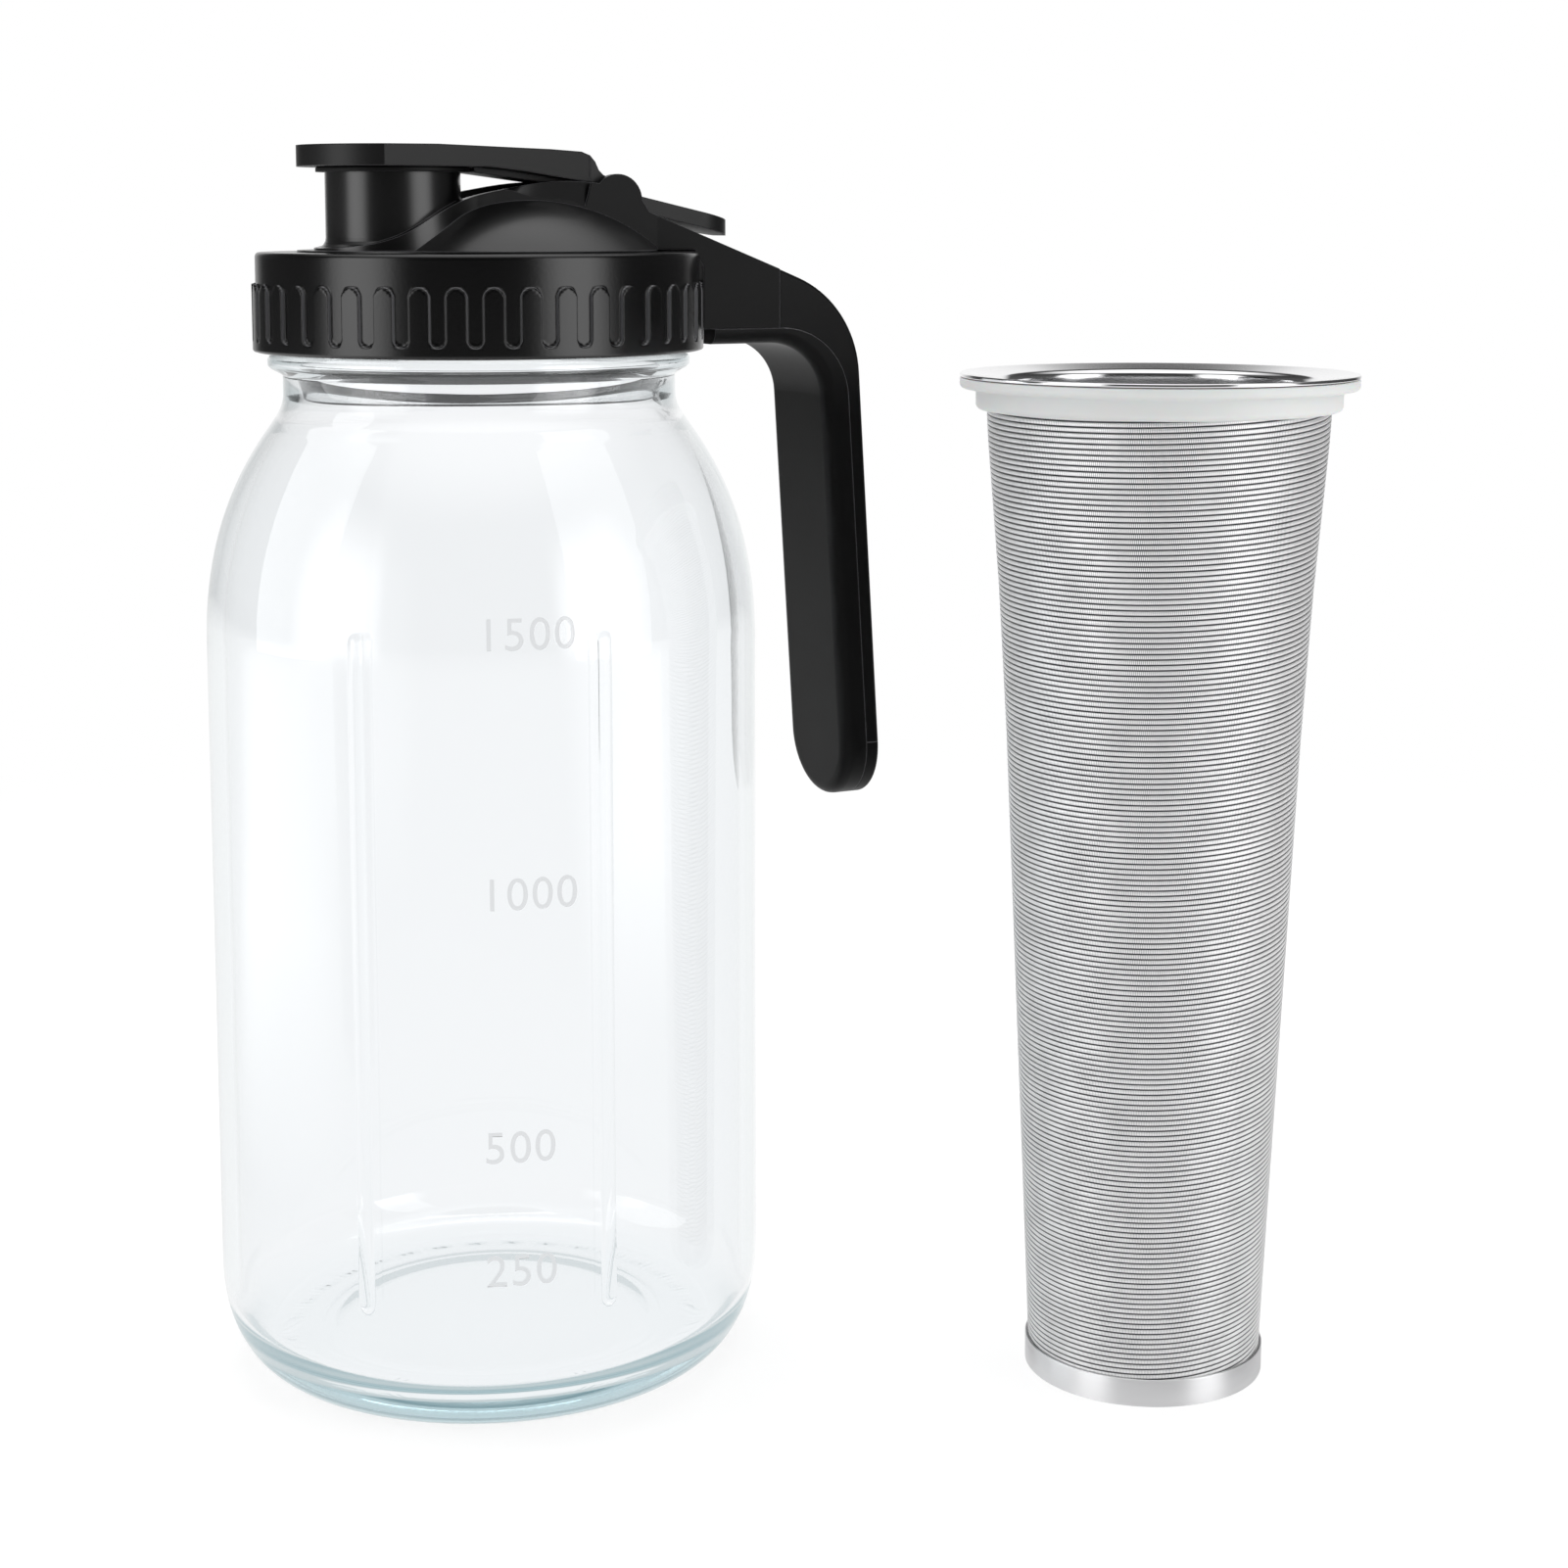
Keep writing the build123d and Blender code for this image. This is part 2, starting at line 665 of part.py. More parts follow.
def strip(outer, inner, half_width):
    """Solid between two edges of the handle."""
    (outer_edge, outer_foot), (inner_edge, inner_foot) = outer, inner
    outline = outer_edge + inner_edge + Line(outer_foot, inner_foot) + Line(outer_edge @ 0, inner_edge @ 0)
    return extrude(make_face(Plane.XZ * outline), half_width, both=True)


def round_end(margin):
    """Upright block with a half round bottom, which gives the leg its end."""
    radius = handle_half_width - margin
    outline = Pos(0, shell_end) * Circle(radius) + Pos(0, shell_end + 60) * Rectangle(2 * radius, 120)
    return extrude(Plane.YZ * outline, 200)


def rounded_along(body, path, radius):
    """Rounds the long side edges of the face that follows a path, and that face's round end."""
    chosen = []
    for edge in body.edges():
        middle = edge @ 0.5
        on_path = path.distance_to(Vector(middle.X, middle.Z, 0)) < 0.01
        if on_path and (abs(middle.Y) > handle_half_width - 0.01 or middle.Z < shell_end):
            chosen.append(edge)
    return fillet(chosen, radius)


def outer_edge(inset=0.0):
    lift = inset / cos(radians(arm_slope))
    start = (arm_seam + seam_gap, outer_top_height(arm_seam + seam_gap) - lift)
    reach = outer_corner_reach - inset / cos(radians(leg_slope))
    # the two inset lines meet a little nearer than either
    slide = lift * tan(radians(leg_slope)) / (1 - tan(radians(arm_slope)) * tan(radians(leg_slope)))
    corner = (reach + slide, outer_top_height(reach + slide) - lift)
    return edge_path(start, corner, leg_bottom, outer_bend_radius - inset)


def parting_edge(start_reach, drop=0.0):
    start = (start_reach, arm_parting - drop)
    corner = (parting_corner[0] - drop * 0.94, arm_parting - drop)
    return edge_path(start, corner, leg_bottom, parting_bend_radius - drop)


def inner_edge(start_reach, inset=0.0):
    start = (start_reach, inner_corner_height + inset)
    corner = (inner_corner[0] + inset, inner_corner_height + inset)
    return edge_path(start, corner, leg_bottom, inner_bend_radius + inset)


def shell_blank():
    back = outer_edge()
    body = strip(back, parting_edge(arm_seam + seam_gap), handle_half_width) & round_end(0)
    return rounded_along(body, back[0], shell_rounding)


def handle_shell():
    blank = shell_blank()
    hollow = strip(outer_edge(shell_wall), parting_edge(arm_seam + seam_gap), handle_half_width - shell_wall)
    hollow &= round_end(shell_wall)
    body = blank - hollow - slab(0, 200, 50, -300, shell_end)
    boss_bottom = arm_parting + tongue_thickness + 2 * touch
    boss_height = outer_top_height(screw_reach) - boss_bottom
    hole_top = outer_top_height(screw_reach) - shell_wall - screw_tip_wall
    for side in (-1, 1):
        boss_middle = Pos(screw_reach, side * screw_spread, boss_bottom + boss_height / 2)
        body += (boss_middle * Cylinder(screw_boss_radius, boss_height)) & blank
        body -= Pos(screw_reach, side * screw_spread, hole_top - 20) * Cylinder(screw_radius, 40)
    return place_lid(body)


def handle_end_cap():
    body = shell_blank() & slab(0, 200, 50, -300, shell_end - seam_gap)
    return place_lid(body)


def handle_cover():
    start = arm_start + 0.5
    facing_jar = inner_edge(start)
    body = strip(parting_edge(start, touch), facing_jar, handle_half_width) & round_end(0)
    body = rounded_along(body, facing_jar[0], cover_rounding)
    hollow = strip(
        parting_edge(start + cover_wall, touch),
        inner_edge(start + cover_wall, cover_wall),
        handle_half_width - cover_wall,
    )
    return place_lid(body - (hollow & round_end(cover_wall)))


def handle_screws():
    head_top = arm_parting + touch
    tip = outer_top_height(screw_reach) - shell_wall - screw_tip_wall
    screws = []
    for side in (-1, 1):
        screw = turned([
            (0, head_top - screw_head_height), (screw_head_radius, head_top - screw_head_height),
            (screw_head_radius, head_top), (screw_radius, head_top), (screw_radius, tip - screw_radius),
            (0.3, tip), (0, tip),
        ])
        screws.append(place_lid(Pos(screw_reach, side * screw_spread, 0) * screw))
    return Compound(children=screws)


# ---- filter ----
def rim_underside(radius):
    """Height of the underside of the dished rim, which the seal, collar and mesh meet."""
    flat_start = rim_opening_radius + rim_curl + rim_sheet
    rise = rim_dish * (radius - flat_start) / (rim_radius - flat_start)
    return filter_height - rim_sheet - rim_dish + rise


def filter_rim():
    inner, outer = rim_opening_radius, rim_radius
    top, lip = filter_height, filter_height - rim_dish
    rim = turned([
        (outer - 0.3, top),
        (outer, top - 0.3),
        (outer, rim_underside(outer)),
        (inner + rim_curl + rim_sheet, rim_underside(inner + rim_curl + rim_sheet)),
        (inner + rim_sheet + 0.4, lip - rim_sheet - 0.4),
        (inner + rim_sheet, lip - rim_sheet - rim_curl),
        (inner + rim_sheet, lip - rim_curl - 2.5),
        (inner, lip - rim_curl - 2.5),
        (inner, lip - rim_curl),
        (inner + 0.4, lip - 0.4),
        (inner + rim_curl, lip),
    ])
    return place_filter(rim)


def filter_seal():
    inner = mesh_top_radius + touch
    bottom = rim_underside(rim_radius) - seal_flange
    seal = turned([
        (inner, rim_underside(inner) - touch),
        (rim_radius, rim_underside(rim_radius) - touch),
        (rim_radius, bottom + 0.7),
        (rim_radius - 0.7, bottom),
        (seal_skirt_radius, bottom),
        (seal_skirt_radius, bottom - seal_skirt_height + 1.2),
        (seal_skirt_radius - 1.2, bottom - seal_skirt_height),
        (inner, bottom - seal_skirt_height),
    ])
    return place_filter(seal)


def filter_collar():
    outer = mesh_top_radius - mesh_thickness - touch
    top = rim_underside(outer - collar_sheet) - touch
    return place_filter(ring(outer - collar_sheet, outer, top - collar_depth, top))


def filter_mesh():
    top = rim_underside(mesh_top_radius - mesh_thickness)
    flare_start = base_band_height + mesh_past_band
    flare_end = top - mesh_top_straight
    inner = mesh_bottom_radius + 2 * touch
    flare = [
        (inner + out * (mesh_top_radius - inner), flare_start + up * (flare_end - flare_start))
        for up, out in mesh_flare
    ]
    outside = [(mesh_bottom_radius, mesh_bottom), (inner, flare_start)] + flare
    outside += [(mesh_top_radius, flare_end), (mesh_top_radius, top)]
    inside = [(radius - mesh_thickness, height) for radius, height in outside]
    return place_filter(turned(outside + inside[::-1]))


def filter_base_band():
    band = turned([
        (base_band_radius - base_band_sheet, 0),
        (base_band_radius, 0),
        (base_band_radius, base_band_height),
        (base_band_radius - base_band_sheet, base_band_height),
    ])
    return place_filter(band)


def filter_base_disc():
    radius = base_band_radius - base_band_sheet
    return place_filter(Pos(0, 0, base_disc_sheet / 2) * Cylinder(radius, base_disc_sheet))


parts = {
    "glass_jar": glass_jar,
    "screw_band": screw_band,
    "lid_gasket": lid_gasket,
    "lid_body": lid_body,
    "flip_cap": flip_cap,
    "cap_plug": cap_plug,
    "hinge_pin": hinge_pin,
    "handle_shell": handle_shell,
    "handle_cover": handle_cover,
    "handle_end_cap": handle_end_cap,
    "handle_screws": handle_screws,
    "filter_rim": filter_rim,
    "filter_seal": filter_seal,
    "filter_collar": filter_collar,
    "filter_mesh": filter_mesh,
    "filter_base_band": filter_base_band,
    "filter_base_disc": filter_base_disc,
}
os.makedirs("parts", exist_ok=True)
for name, make in parts.items():
    export_step(make(), f"parts/{name}.step")
    print(name)
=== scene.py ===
import json
from math import radians

import bmesh
import bpy
import numpy as np
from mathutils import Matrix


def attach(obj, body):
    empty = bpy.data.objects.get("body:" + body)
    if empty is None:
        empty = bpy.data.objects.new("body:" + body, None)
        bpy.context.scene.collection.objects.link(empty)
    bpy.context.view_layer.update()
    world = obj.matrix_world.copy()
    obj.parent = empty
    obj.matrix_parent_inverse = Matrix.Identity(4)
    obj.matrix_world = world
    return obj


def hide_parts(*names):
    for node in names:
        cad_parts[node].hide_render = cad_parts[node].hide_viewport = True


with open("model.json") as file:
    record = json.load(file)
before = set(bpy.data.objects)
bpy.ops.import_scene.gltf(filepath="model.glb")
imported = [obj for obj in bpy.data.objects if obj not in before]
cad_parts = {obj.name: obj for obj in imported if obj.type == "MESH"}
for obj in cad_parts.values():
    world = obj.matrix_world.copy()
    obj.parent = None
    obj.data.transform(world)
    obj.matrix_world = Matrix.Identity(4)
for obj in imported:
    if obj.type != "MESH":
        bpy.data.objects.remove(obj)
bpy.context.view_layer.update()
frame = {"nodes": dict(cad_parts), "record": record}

nodes = frame["nodes"]
print("frame loaded", len(nodes), "nodes")

# shapes are worked out in millimetres, and the meshes are in metres
mm = 0.001
jarAxis = (-62.2, 0.0)
filterAxis = (79.2, -13.5)
bandTop = 237.1
# where the thread's helix begins, and its rise in a turn
thread = {"start": 219.6, "pitch": 5.08}


# points about an upright axis, from their angle round it (0 is the front), radius and height
def aroundAxis(axis, angle, radius, height):
    angle, radius, height = np.broadcast_arrays(angle, radius, height)
    return np.stack([axis[0] + radius * np.sin(angle), axis[1] - radius * np.cos(angle), height], -1)


def angleRound(axis, place):
    return np.arctan2(place[:, 0] - axis[0], axis[1] - place[:, 1])


# smooth step from 0 to 1 between two values: 3 x squared - 2 x cubed
def ease(value, low, high):
    share = np.clip((value - low) / (high - low), 0, 1)
    return share * share * (3 - 2 * share)


# cubic curve through its first and last points, pulled by the two between
def bezier(points, steps):
    share = np.linspace(0, 1, steps)[:, None]
    start, pull, push, end = np.array(points, float)
    return ((1 - share) ** 3 * start + 3 * share * (1 - share) ** 2 * pull
            + 3 * share ** 2 * (1 - share) * push + share ** 3 * end)


# a corner rounded by the curve that leaves one side at its start and meets the other at its end
def roundCorner(points, steps):
    share = np.linspace(0, 1, steps)[:, None]
    start, corner, end = np.array(points, float)
    return (1 - share) ** 2 * start + 2 * share * (1 - share) * corner + share ** 2 * end


# closed outline with every corner rounded: each arc starts and ends radius / tan(half the corner) away from it,
# and the points between are its two end directions weighted by sines of the turn
def softCorners(points, radii, steps):
    corner, radius = np.array(points, float), np.array(radii, float)
    back = np.roll(corner, 1, 0) - corner
    ahead = np.roll(corner, -1, 0) - corner
    back /= np.linalg.norm(back, axis=1, keepdims=True)
    ahead /= np.linalg.norm(ahead, axis=1, keepdims=True)
    half = np.arccos(np.clip((back * ahead).sum(1), -1, 1)) / 2
    half = np.clip(half, 1e-3, np.pi / 2 - 1e-3)
    middle = back + ahead
    middle /= np.maximum(np.linalg.norm(middle, axis=1, keepdims=True), 1e-9)
    centre = corner + middle * (radius / np.sin(half))[:, None]
    reach = (radius / np.tan(half))[:, None]
    start, end = corner + back * reach - centre, corner + ahead * reach - centre
    turn = (np.pi - 2 * half)[:, None]
    share = np.linspace(0, 1, steps)[None, :]
    first, last = np.sin((1 - share) * turn) / np.sin(turn), np.sin(share * turn) / np.sin(turn)
    arc = centre[:, None] + start[:, None] * first[..., None] + end[:, None] * last[..., None]
    return arc.reshape(-1, 2)


# extra points along an open outline, so that no step is longer than the given length
def evenOut(outline, longest):
    length = np.linalg.norm(np.diff(outline, axis=0), axis=1)
    along = np.concatenate([[0], np.cumsum(length)])
    pieces = np.maximum(1, np.ceil(length / longest)).astype(int)
    owner = np.repeat(np.arange(len(length)), pieces)
    first = np.concatenate([[0], np.cumsum(pieces)])[owner]
    share = (np.arange(len(owner)) - first) / pieces[owner]
    place = np.append(along[owner] + share * length[owner], along[-1])
    return np.stack([np.interp(place, along, outline[:, 0]), np.interp(place, along, outline[:, 1])], 1)


# a grid of points becomes quads, always closed round its columns; closeRows joins the last row to the first,
# and faces that meet at less than the smooth angle are shaded as one
def makePiece(name, grid, material, body, replaced, smooth, closeRows=True):
    index = np.arange(grid.shape[0] * grid.shape[1]).reshape(grid.shape[:2])
    if closeRows:
        index = np.vstack([index, index[:1]])
    index = np.hstack([index, index[:, :1]])
    faces = np.stack([index[:-1, :-1], index[:-1, 1:], index[1:, 1:], index[1:, :-1]], -1).reshape(-1, 4)
    mesh = bpy.data.meshes.new(name)
    mesh.from_pydata((grid.reshape(-1, 3) * mm).tolist(), [], faces.tolist())
    shape = bmesh.new()
    shape.from_mesh(mesh)
    bmesh.ops.remove_doubles(shape, verts=shape.verts, dist=1e-6)
    bmesh.ops.dissolve_degenerate(shape, edges=shape.edges, dist=1e-7)
    bmesh.ops.recalc_face_normals(shape, faces=shape.faces)
    shape.to_mesh(mesh)
    shape.free()
    mesh.shade_smooth()
    mesh.set_sharp_from_angle(angle=radians(smooth))
    mesh.materials.append(material)
    piece = linkPiece(name, mesh, body)
    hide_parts(replaced)
    return piece


def linkPiece(name, mesh, body):
    piece = bpy.data.objects.new(name, mesh)
    bpy.context.scene.collection.objects.link(piece)
    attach(piece, body)
    return piece


def readPlaces(mesh):
    place = np.empty(len(mesh.vertices) * 3)
    mesh.vertices.foreach_get("co", place)
    return place.reshape(-1, 3)


def readCorners(mesh):
    corner = np.empty(len(mesh.loops), int)
    mesh.loops.foreach_get("vertex_index", corner)
    return corner


def newMaterial(name, **values):
    material = bpy.data.materials.new(name)
    material.use_nodes = True
    shader = material.node_tree.nodes["Principled BSDF"]
    for socket, value in values.items():
        shader.inputs[socket.replace("_", " ")].default_value = value
    return material, material.node_tree, shader


# inputs are given by name or number, as a value or as another node's output
def addNode(tree, kind, inputs=(), **settings):
    node = tree.nodes.new(kind)
    for key, value in settings.items():
        setattr(node, key, value)
    for socket, value in dict(inputs).items():
        if isinstance(value, bpy.types.NodeSocket):
            tree.links.new(value, node.inputs[socket])
        else:
            node.inputs[socket].default_value = value
    return node


def mathNode(tree, operation, *values, clamp=False):
    node = addNode(tree, "ShaderNodeMath", enumerate(values), operation=operation, use_clamp=clamp)
    return node.outputs[0]


def vectorNode(tree, operation, *values):
    node = addNode(tree, "ShaderNodeVectorMath", enumerate(values), operation=operation)
    return node.outputs["Value" if operation in ("LENGTH", "DOT_PRODUCT") else "Vector"]


# a value carried from one range to another, straight or as a smooth step
def mapRange(tree, value, ends, levels=(0.0, 1.0), smooth=False):
    return addNode(tree, "ShaderNodeMapRange", enumerate((value, *ends, *levels)),
                   interpolation_type="SMOOTHSTEP" if smooth else "LINEAR").outputs[0]


def noise(tree, place, scale, detail):
    node = addNode(tree, "ShaderNodeTexNoise", {"Vector": place, "Scale": scale, "Detail": detail})
    return node.outputs["Fac"]


def coordinate(tree, kind):
    return addNode(tree, "ShaderNodeTexCoord").outputs[kind]


def mixColours(tree, share, first, second):
    mixed = addNode(tree, "ShaderNodeMix", {"Factor": share}, data_type="RGBA")
    mixed.inputs[6].default_value = first
    mixed.inputs[7].default_value = second
    return mixed.outputs[2]


def mixShaders(tree, share, first, second):
    return addNode(tree, "ShaderNodeMixShader", {0: share, 1: first, 2: second}).outputs[0]


def addBump(tree, shader, height, strength, distance, normal=None):
    bump = addNode(tree, "ShaderNodeBump", {"Height": height, "Strength": strength, "Distance": distance})
    if normal:
        tree.links.new(normal, bump.inputs["Normal"])
    tree.links.new(bump.outputs["Normal"], shader.inputs["Normal"])


def setSurface(tree, surface):
    tree.links.new(surface, tree.nodes["Material Output"].inputs["Surface"])


# an empty node group with named inputs, given with their values, and named outputs
def newGroup(name, inputs, outputs):
    group = bpy.data.node_groups.new(name, "ShaderNodeTree")
    for label, value in inputs.items():
        kind = "NodeSocketVector" if isinstance(value, tuple) else "NodeSocketFloat"
        group.interface.new_socket(label, in_out="INPUT", socket_type=kind).default_value = value
    for label in outputs:
        group.interface.new_socket(label, in_out="OUTPUT", socket_type="NodeSocketFloat")
    return group, group.nodes.new("NodeGroupInput").outputs, group.nodes.new("NodeGroupOutput").inputs


# radius in metres by which the shader rounds moulded edges; size of the slow noise and its part of the height;
# strength of the bump; cosines of the turns at which an edge's painted highlight line begins and is full
skin = {"softEdge": 0.0004, "sweepSize": 45.0, "sweepShare": 0.35, "bump": 0.25, "highlightTurn": (0.985, 0.9)}
# size of worked metal's lines, the least and most of its gloss, and its depth in metres
metal = {"lineSize": 60.0, "glossSpan": (0.8, 1.35), "depth": 0.00003}


# moulded skin: fine pebble from one noise and slow waviness from another, as height and as gloss
def buildSkinGroup():
    group, start, end = newGroup("mouldedSkin", {"Grain Size": 900.0, "Gloss": 0.3, "Gloss Spread": 0.06},
                                 ("Height", "Roughness"))
    place = coordinate(group, "Object")
    grain = noise(group, place, start["Grain Size"], detail=3.0)
    sweep = noise(group, place, skin["sweepSize"], detail=4.0)
    spread = mathNode(group, "MULTIPLY", sweep, start["Gloss Spread"])
    group.links.new(mathNode(group, "MULTIPLY_ADD", sweep, skin["sweepShare"], grain), end["Height"])
    group.links.new(mathNode(group, "ADD", spread, start["Gloss"]), end["Roughness"])
    return group


# mask for the painted highlight along edges: 1 where the rounded normal turns away from the flat one
def buildEdgeGroup():
    group, start, end = newGroup("paintedEdgeHighlight", {"Width": 0.0002}, ("Edge",))
    rounded = addNode(group, "ShaderNodeBevel", {"Radius": start["Width"]}, samples=8).outputs["Normal"]
    flat = addNode(group, "ShaderNodeNewGeometry").outputs["Normal"]
    turn = vectorNode(group, "DOT_PRODUCT", rounded, flat)
    group.links.new(mapRange(group, turn, skin["highlightTurn"], smooth=True), end["Edge"])
    return group


# worked metal: one stretched noise, as height and as gloss from the least to the most share of the given one
def buildMetalGroup():
    group, start, end = newGroup("workedMetal", {"Stretch": (1.0, 1.0, 10.0), "Gloss": 0.2},
                                 ("Height", "Roughness"))
    stretched = addNode(group, "ShaderNodeMapping", {"Vector": coordinate(group, "Object"),
                                                     "Scale": start["Stretch"]})
    lines = noise(group, stretched.outputs[0], metal["lineSize"], detail=5.0)
    least, most = (mathNode(group, "MULTIPLY", start["Gloss"], share) for share in metal["glossSpan"])
    group.links.new(lines, end["Height"])
    group.links.new(mapRange(group, lines, (0.0, 1.0), (least, most)), end["Roughness"])
    return group


skinGroup = buildSkinGroup()
edgeHighlightGroup = buildEdgeGroup()
metalGroup = buildMetalGroup()


def addSkin(tree, shader, size, gloss, spread, depth):
    moulded = addNode(tree, "ShaderNodeGroup", {"Grain Size": size, "Gloss": gloss, "Gloss Spread": spread},
                      node_tree=skinGroup)
    rounded = addNode(tree, "ShaderNodeBevel", {"Radius": skin["softEdge"]}, samples=6)
    addBump(tree, shader, moulded.outputs["Height"], skin["bump"], depth, rounded.outputs["Normal"])
    tree.links.new(moulded.outputs["Roughness"], shader.inputs["Roughness"])


# the jar's wall would mirror what stands beside it as a hard dark line, so rays that were mirrored in glass
# pass through the piece by the given share
def clearInsideGlass(tree, shader, share, alsoMirrors):
    ray = addNode(tree, "ShaderNodeLightPath")
    mirrored = mathNode(tree, "GREATER_THAN", ray.outputs["Glossy Depth"], 0.5)
    kind = ray.outputs["Is Transmission Ray"]
    if alsoMirrors:
        kind = mathNode(tree, "MAXIMUM", kind, ray.outputs["Is Glossy Ray"])
    amount = mathNode(tree, "MULTIPLY", mathNode(tree, "MULTIPLY", mirrored, kind), share)
    clear = addNode(tree, "ShaderNodeBsdfTransparent").outputs[0]
    setSurface(tree, mixShaders(tree, amount, shader.outputs["BSDF"], clear))


plastic = {
    # the pale line colour is a painted highlight that the lid, cap, handle and band carry along their edges
    "black": (0.0016, 0.0016, 0.0018, 1), "line": (0.10, 0.10, 0.106, 1), "highlightWidth": 0.00022,
    "grain": 1400.0, "glossSpread": 0.06, "grainDepth": 0.00004,
    "gloss": 0.19, "specular": 0.5,  # the band
    "satin": 0.40, "lidSpecular": 0.16, "capSpecular": 0.36, "handleSpecular": 0.14,  # what sits on it
    "lidClear": 0.9, "handleClear": 0.98,
    # the spout's axis in metres, how far its glossy coat reaches, and the way that the saddle's flat sides face
    "spoutPlace": (-0.0788, -0.0085, 0.0), "spoutReach": 0.0165, "spoutFade": 0.002,
    "sideways": (-0.454, 0.891, 0.0), "flatSides": (0.9, 0.97), "curvedCoat": 0.6, "coatGloss": 0.23,
}


def plasticMaterial(name, gloss, specular):
    material, tree, shader = newMaterial(name, Base_Color=plastic["black"], IOR=1.5,
                                         Specular_IOR_Level=specular)
    addSkin(tree, shader, plastic["grain"], gloss, plastic["glossSpread"], plastic["grainDepth"])
    return material, tree, shader


# satin plastic with a painted highlight: a pale line along its edges
def lidMaterial(name, specular, clearShare, alsoMirrors=False):
    material, tree, shader = plasticMaterial(name, plastic["satin"], specular)
    edge = addNode(tree, "ShaderNodeGroup", {"Width": plastic["highlightWidth"]}, node_tree=edgeHighlightGroup)
    # painted highlight: the base colour turns to the pale line where the mask finds a rounded edge
    colour = mixColours(tree, edge.outputs["Edge"], plastic["black"], plastic["line"])
    tree.links.new(colour, shader.inputs["Base Color"])
    clearInsideGlass(tree, shader, clearShare, alsoMirrors)
    return material, tree, shader


# the spout, the dome and every rounded edge of the lid are glossier than its flat sides
def addLidCoat(tree, shader):
    fromSpout = vectorNode(tree, "SUBTRACT", coordinate(tree, "Object"), plastic["spoutPlace"])
    reach = vectorNode(tree, "LENGTH", vectorNode(tree, "MULTIPLY", fromSpout, (1, 1, 0)))
    spoutEnds = (plastic["spoutReach"], plastic["spoutReach"] + plastic["spoutFade"])
    spoutCoat = mapRange(tree, reach, spoutEnds, (1.0, 0.0))
    normal = addNode(tree, "ShaderNodeNewGeometry").outputs["Normal"]
    facing = mathNode(tree, "ABSOLUTE", vectorNode(tree, "DOT_PRODUCT", normal, plastic["sideways"]))
    curvedCoat = mapRange(tree, facing, plastic["flatSides"], (plastic["curvedCoat"], 0.0))
    tree.links.new(mathNode(tree, "MAXIMUM", spoutCoat, curvedCoat), shader.inputs["Coat Weight"])
    shader.inputs["Coat Roughness"].default_value = plastic["coatGloss"]


blackPlastic = plasticMaterial("satinBlackPlastic", plastic["gloss"], plastic["specular"])[0]
lidPlastic, tree, shader = lidMaterial("satinBlackLid", plastic["lidSpecular"], plastic["lidClear"])
addLidCoat(tree, shader)
capPlastic = lidMaterial("satinBlackCap", plastic["capSpecular"], plastic["lidClear"])[0]
handlePlastic = lidMaterial("satinBlackHandle", plastic["handleSpecular"], plastic["handleClear"], True)[0]

blackSilicone, tree, shader = newMaterial("blackSilicone", Base_Color=(0.005, 0.005, 0.005, 1), IOR=1.41,
                                          Specular_IOR_Level=0.3)
addSkin(tree, shader, size=1400.0, gloss=0.5, spread=0.08, depth=0.00004)
whiteSilicone, tree, shader = newMaterial("milkySilicone", Base_Color=(0.88, 0.88, 0.875, 1), IOR=1.41,
                                          Subsurface_Weight=0.2, Subsurface_Scale=0.004)
addSkin(tree, shader, size=700.0, gloss=0.42, spread=0.06, depth=0.00003)

glass = {
    "tint": (0.983, 0.985, 0.992, 1), "thickTint": (0.21, 0.50, 0.565, 1), "thickness": 9.0,
    "waveSize": 28.0, "waveStretch": (1.0, 1.0, 0.35), "waveDepth": 0.0004, "waveStrength": 0.1,
    "deepest": 4.5, "paintedGlowStrength": 0.8,
    "figureTint": (0.98, 0.98, 0.985, 1), "figureGloss": 0.06, "figureBend": 1.05,
}


# pressed glass: clear, with the green of its thickness as an even absorption, a faint waviness, and a painted
# glow for deep rays
def buildGlass():
    material, tree, shader = newMaterial("clearPressedGlass", Base_Color=glass["tint"], Transmission_Weight=1.0,
                                         Roughness=0.0, IOR=1.5)
    green = addNode(tree, "ShaderNodeVolumeAbsorption", {"Color": glass["thickTint"],
                                                         "Density": glass["thickness"]})
    tree.links.new(green.outputs[0], tree.nodes["Material Output"].inputs["Volume"])
    stretched = addNode(tree, "ShaderNodeMapping", {"Vector": coordinate(tree, "Object"),
                                                    "Scale": glass["waveStretch"]})
    waves = noise(tree, stretched.outputs[0], glass["waveSize"], detail=1.0)
    addBump(tree, shader, waves, glass["waveStrength"], glass["waveDepth"])
    # painted glow: past the given ray depth the wall gives out pale light instead of bending it
    deep = mathNode(tree, "GREATER_THAN", addNode(tree, "ShaderNodeLightPath").outputs["Ray Depth"],
                    glass["deepest"])
    paintedGlow = addNode(tree, "ShaderNodeEmission", {"Strength": glass["paintedGlowStrength"]}).outputs[0]
    setSurface(tree, mixShaders(tree, deep, shader.outputs["BSDF"], paintedGlow))
    return material


clearGlass = buildGlass()
# the figures sit in the wall's skin, so they bend light only a little more than it does
figureGlass = newMaterial("raisedFigureGlass", Base_Color=glass["figureTint"], Transmission_Weight=1.0,
                          Roughness=glass["figureGloss"], IOR=glass["figureBend"])[0]


# brushing is how much gloss spreads across the brush lines, and its turn, a quarter, sets them round the axis
steels = {
    "polishedSteel": {"colour": (0.80, 0.80, 0.81, 1), "gloss": 0.1, "stretch": 3.0, "grain": 0.01},
    "satinSteel": {"colour": (0.80, 0.80, 0.81, 1), "gloss": 0.18, "stretch": 14.0, "grain": 0.03},
    "pinSteel": {"colour": (0.62, 0.62, 0.63, 1), "gloss": 0.3, "stretch": 10.0, "grain": 0.15},
    "brushedSteel": {"colour": (0.87, 0.87, 0.88, 1), "gloss": 0.42, "stretch": 14.0, "grain": 0.03,
                     "brushing": 0.9, "brushTurn": 0.25},
}


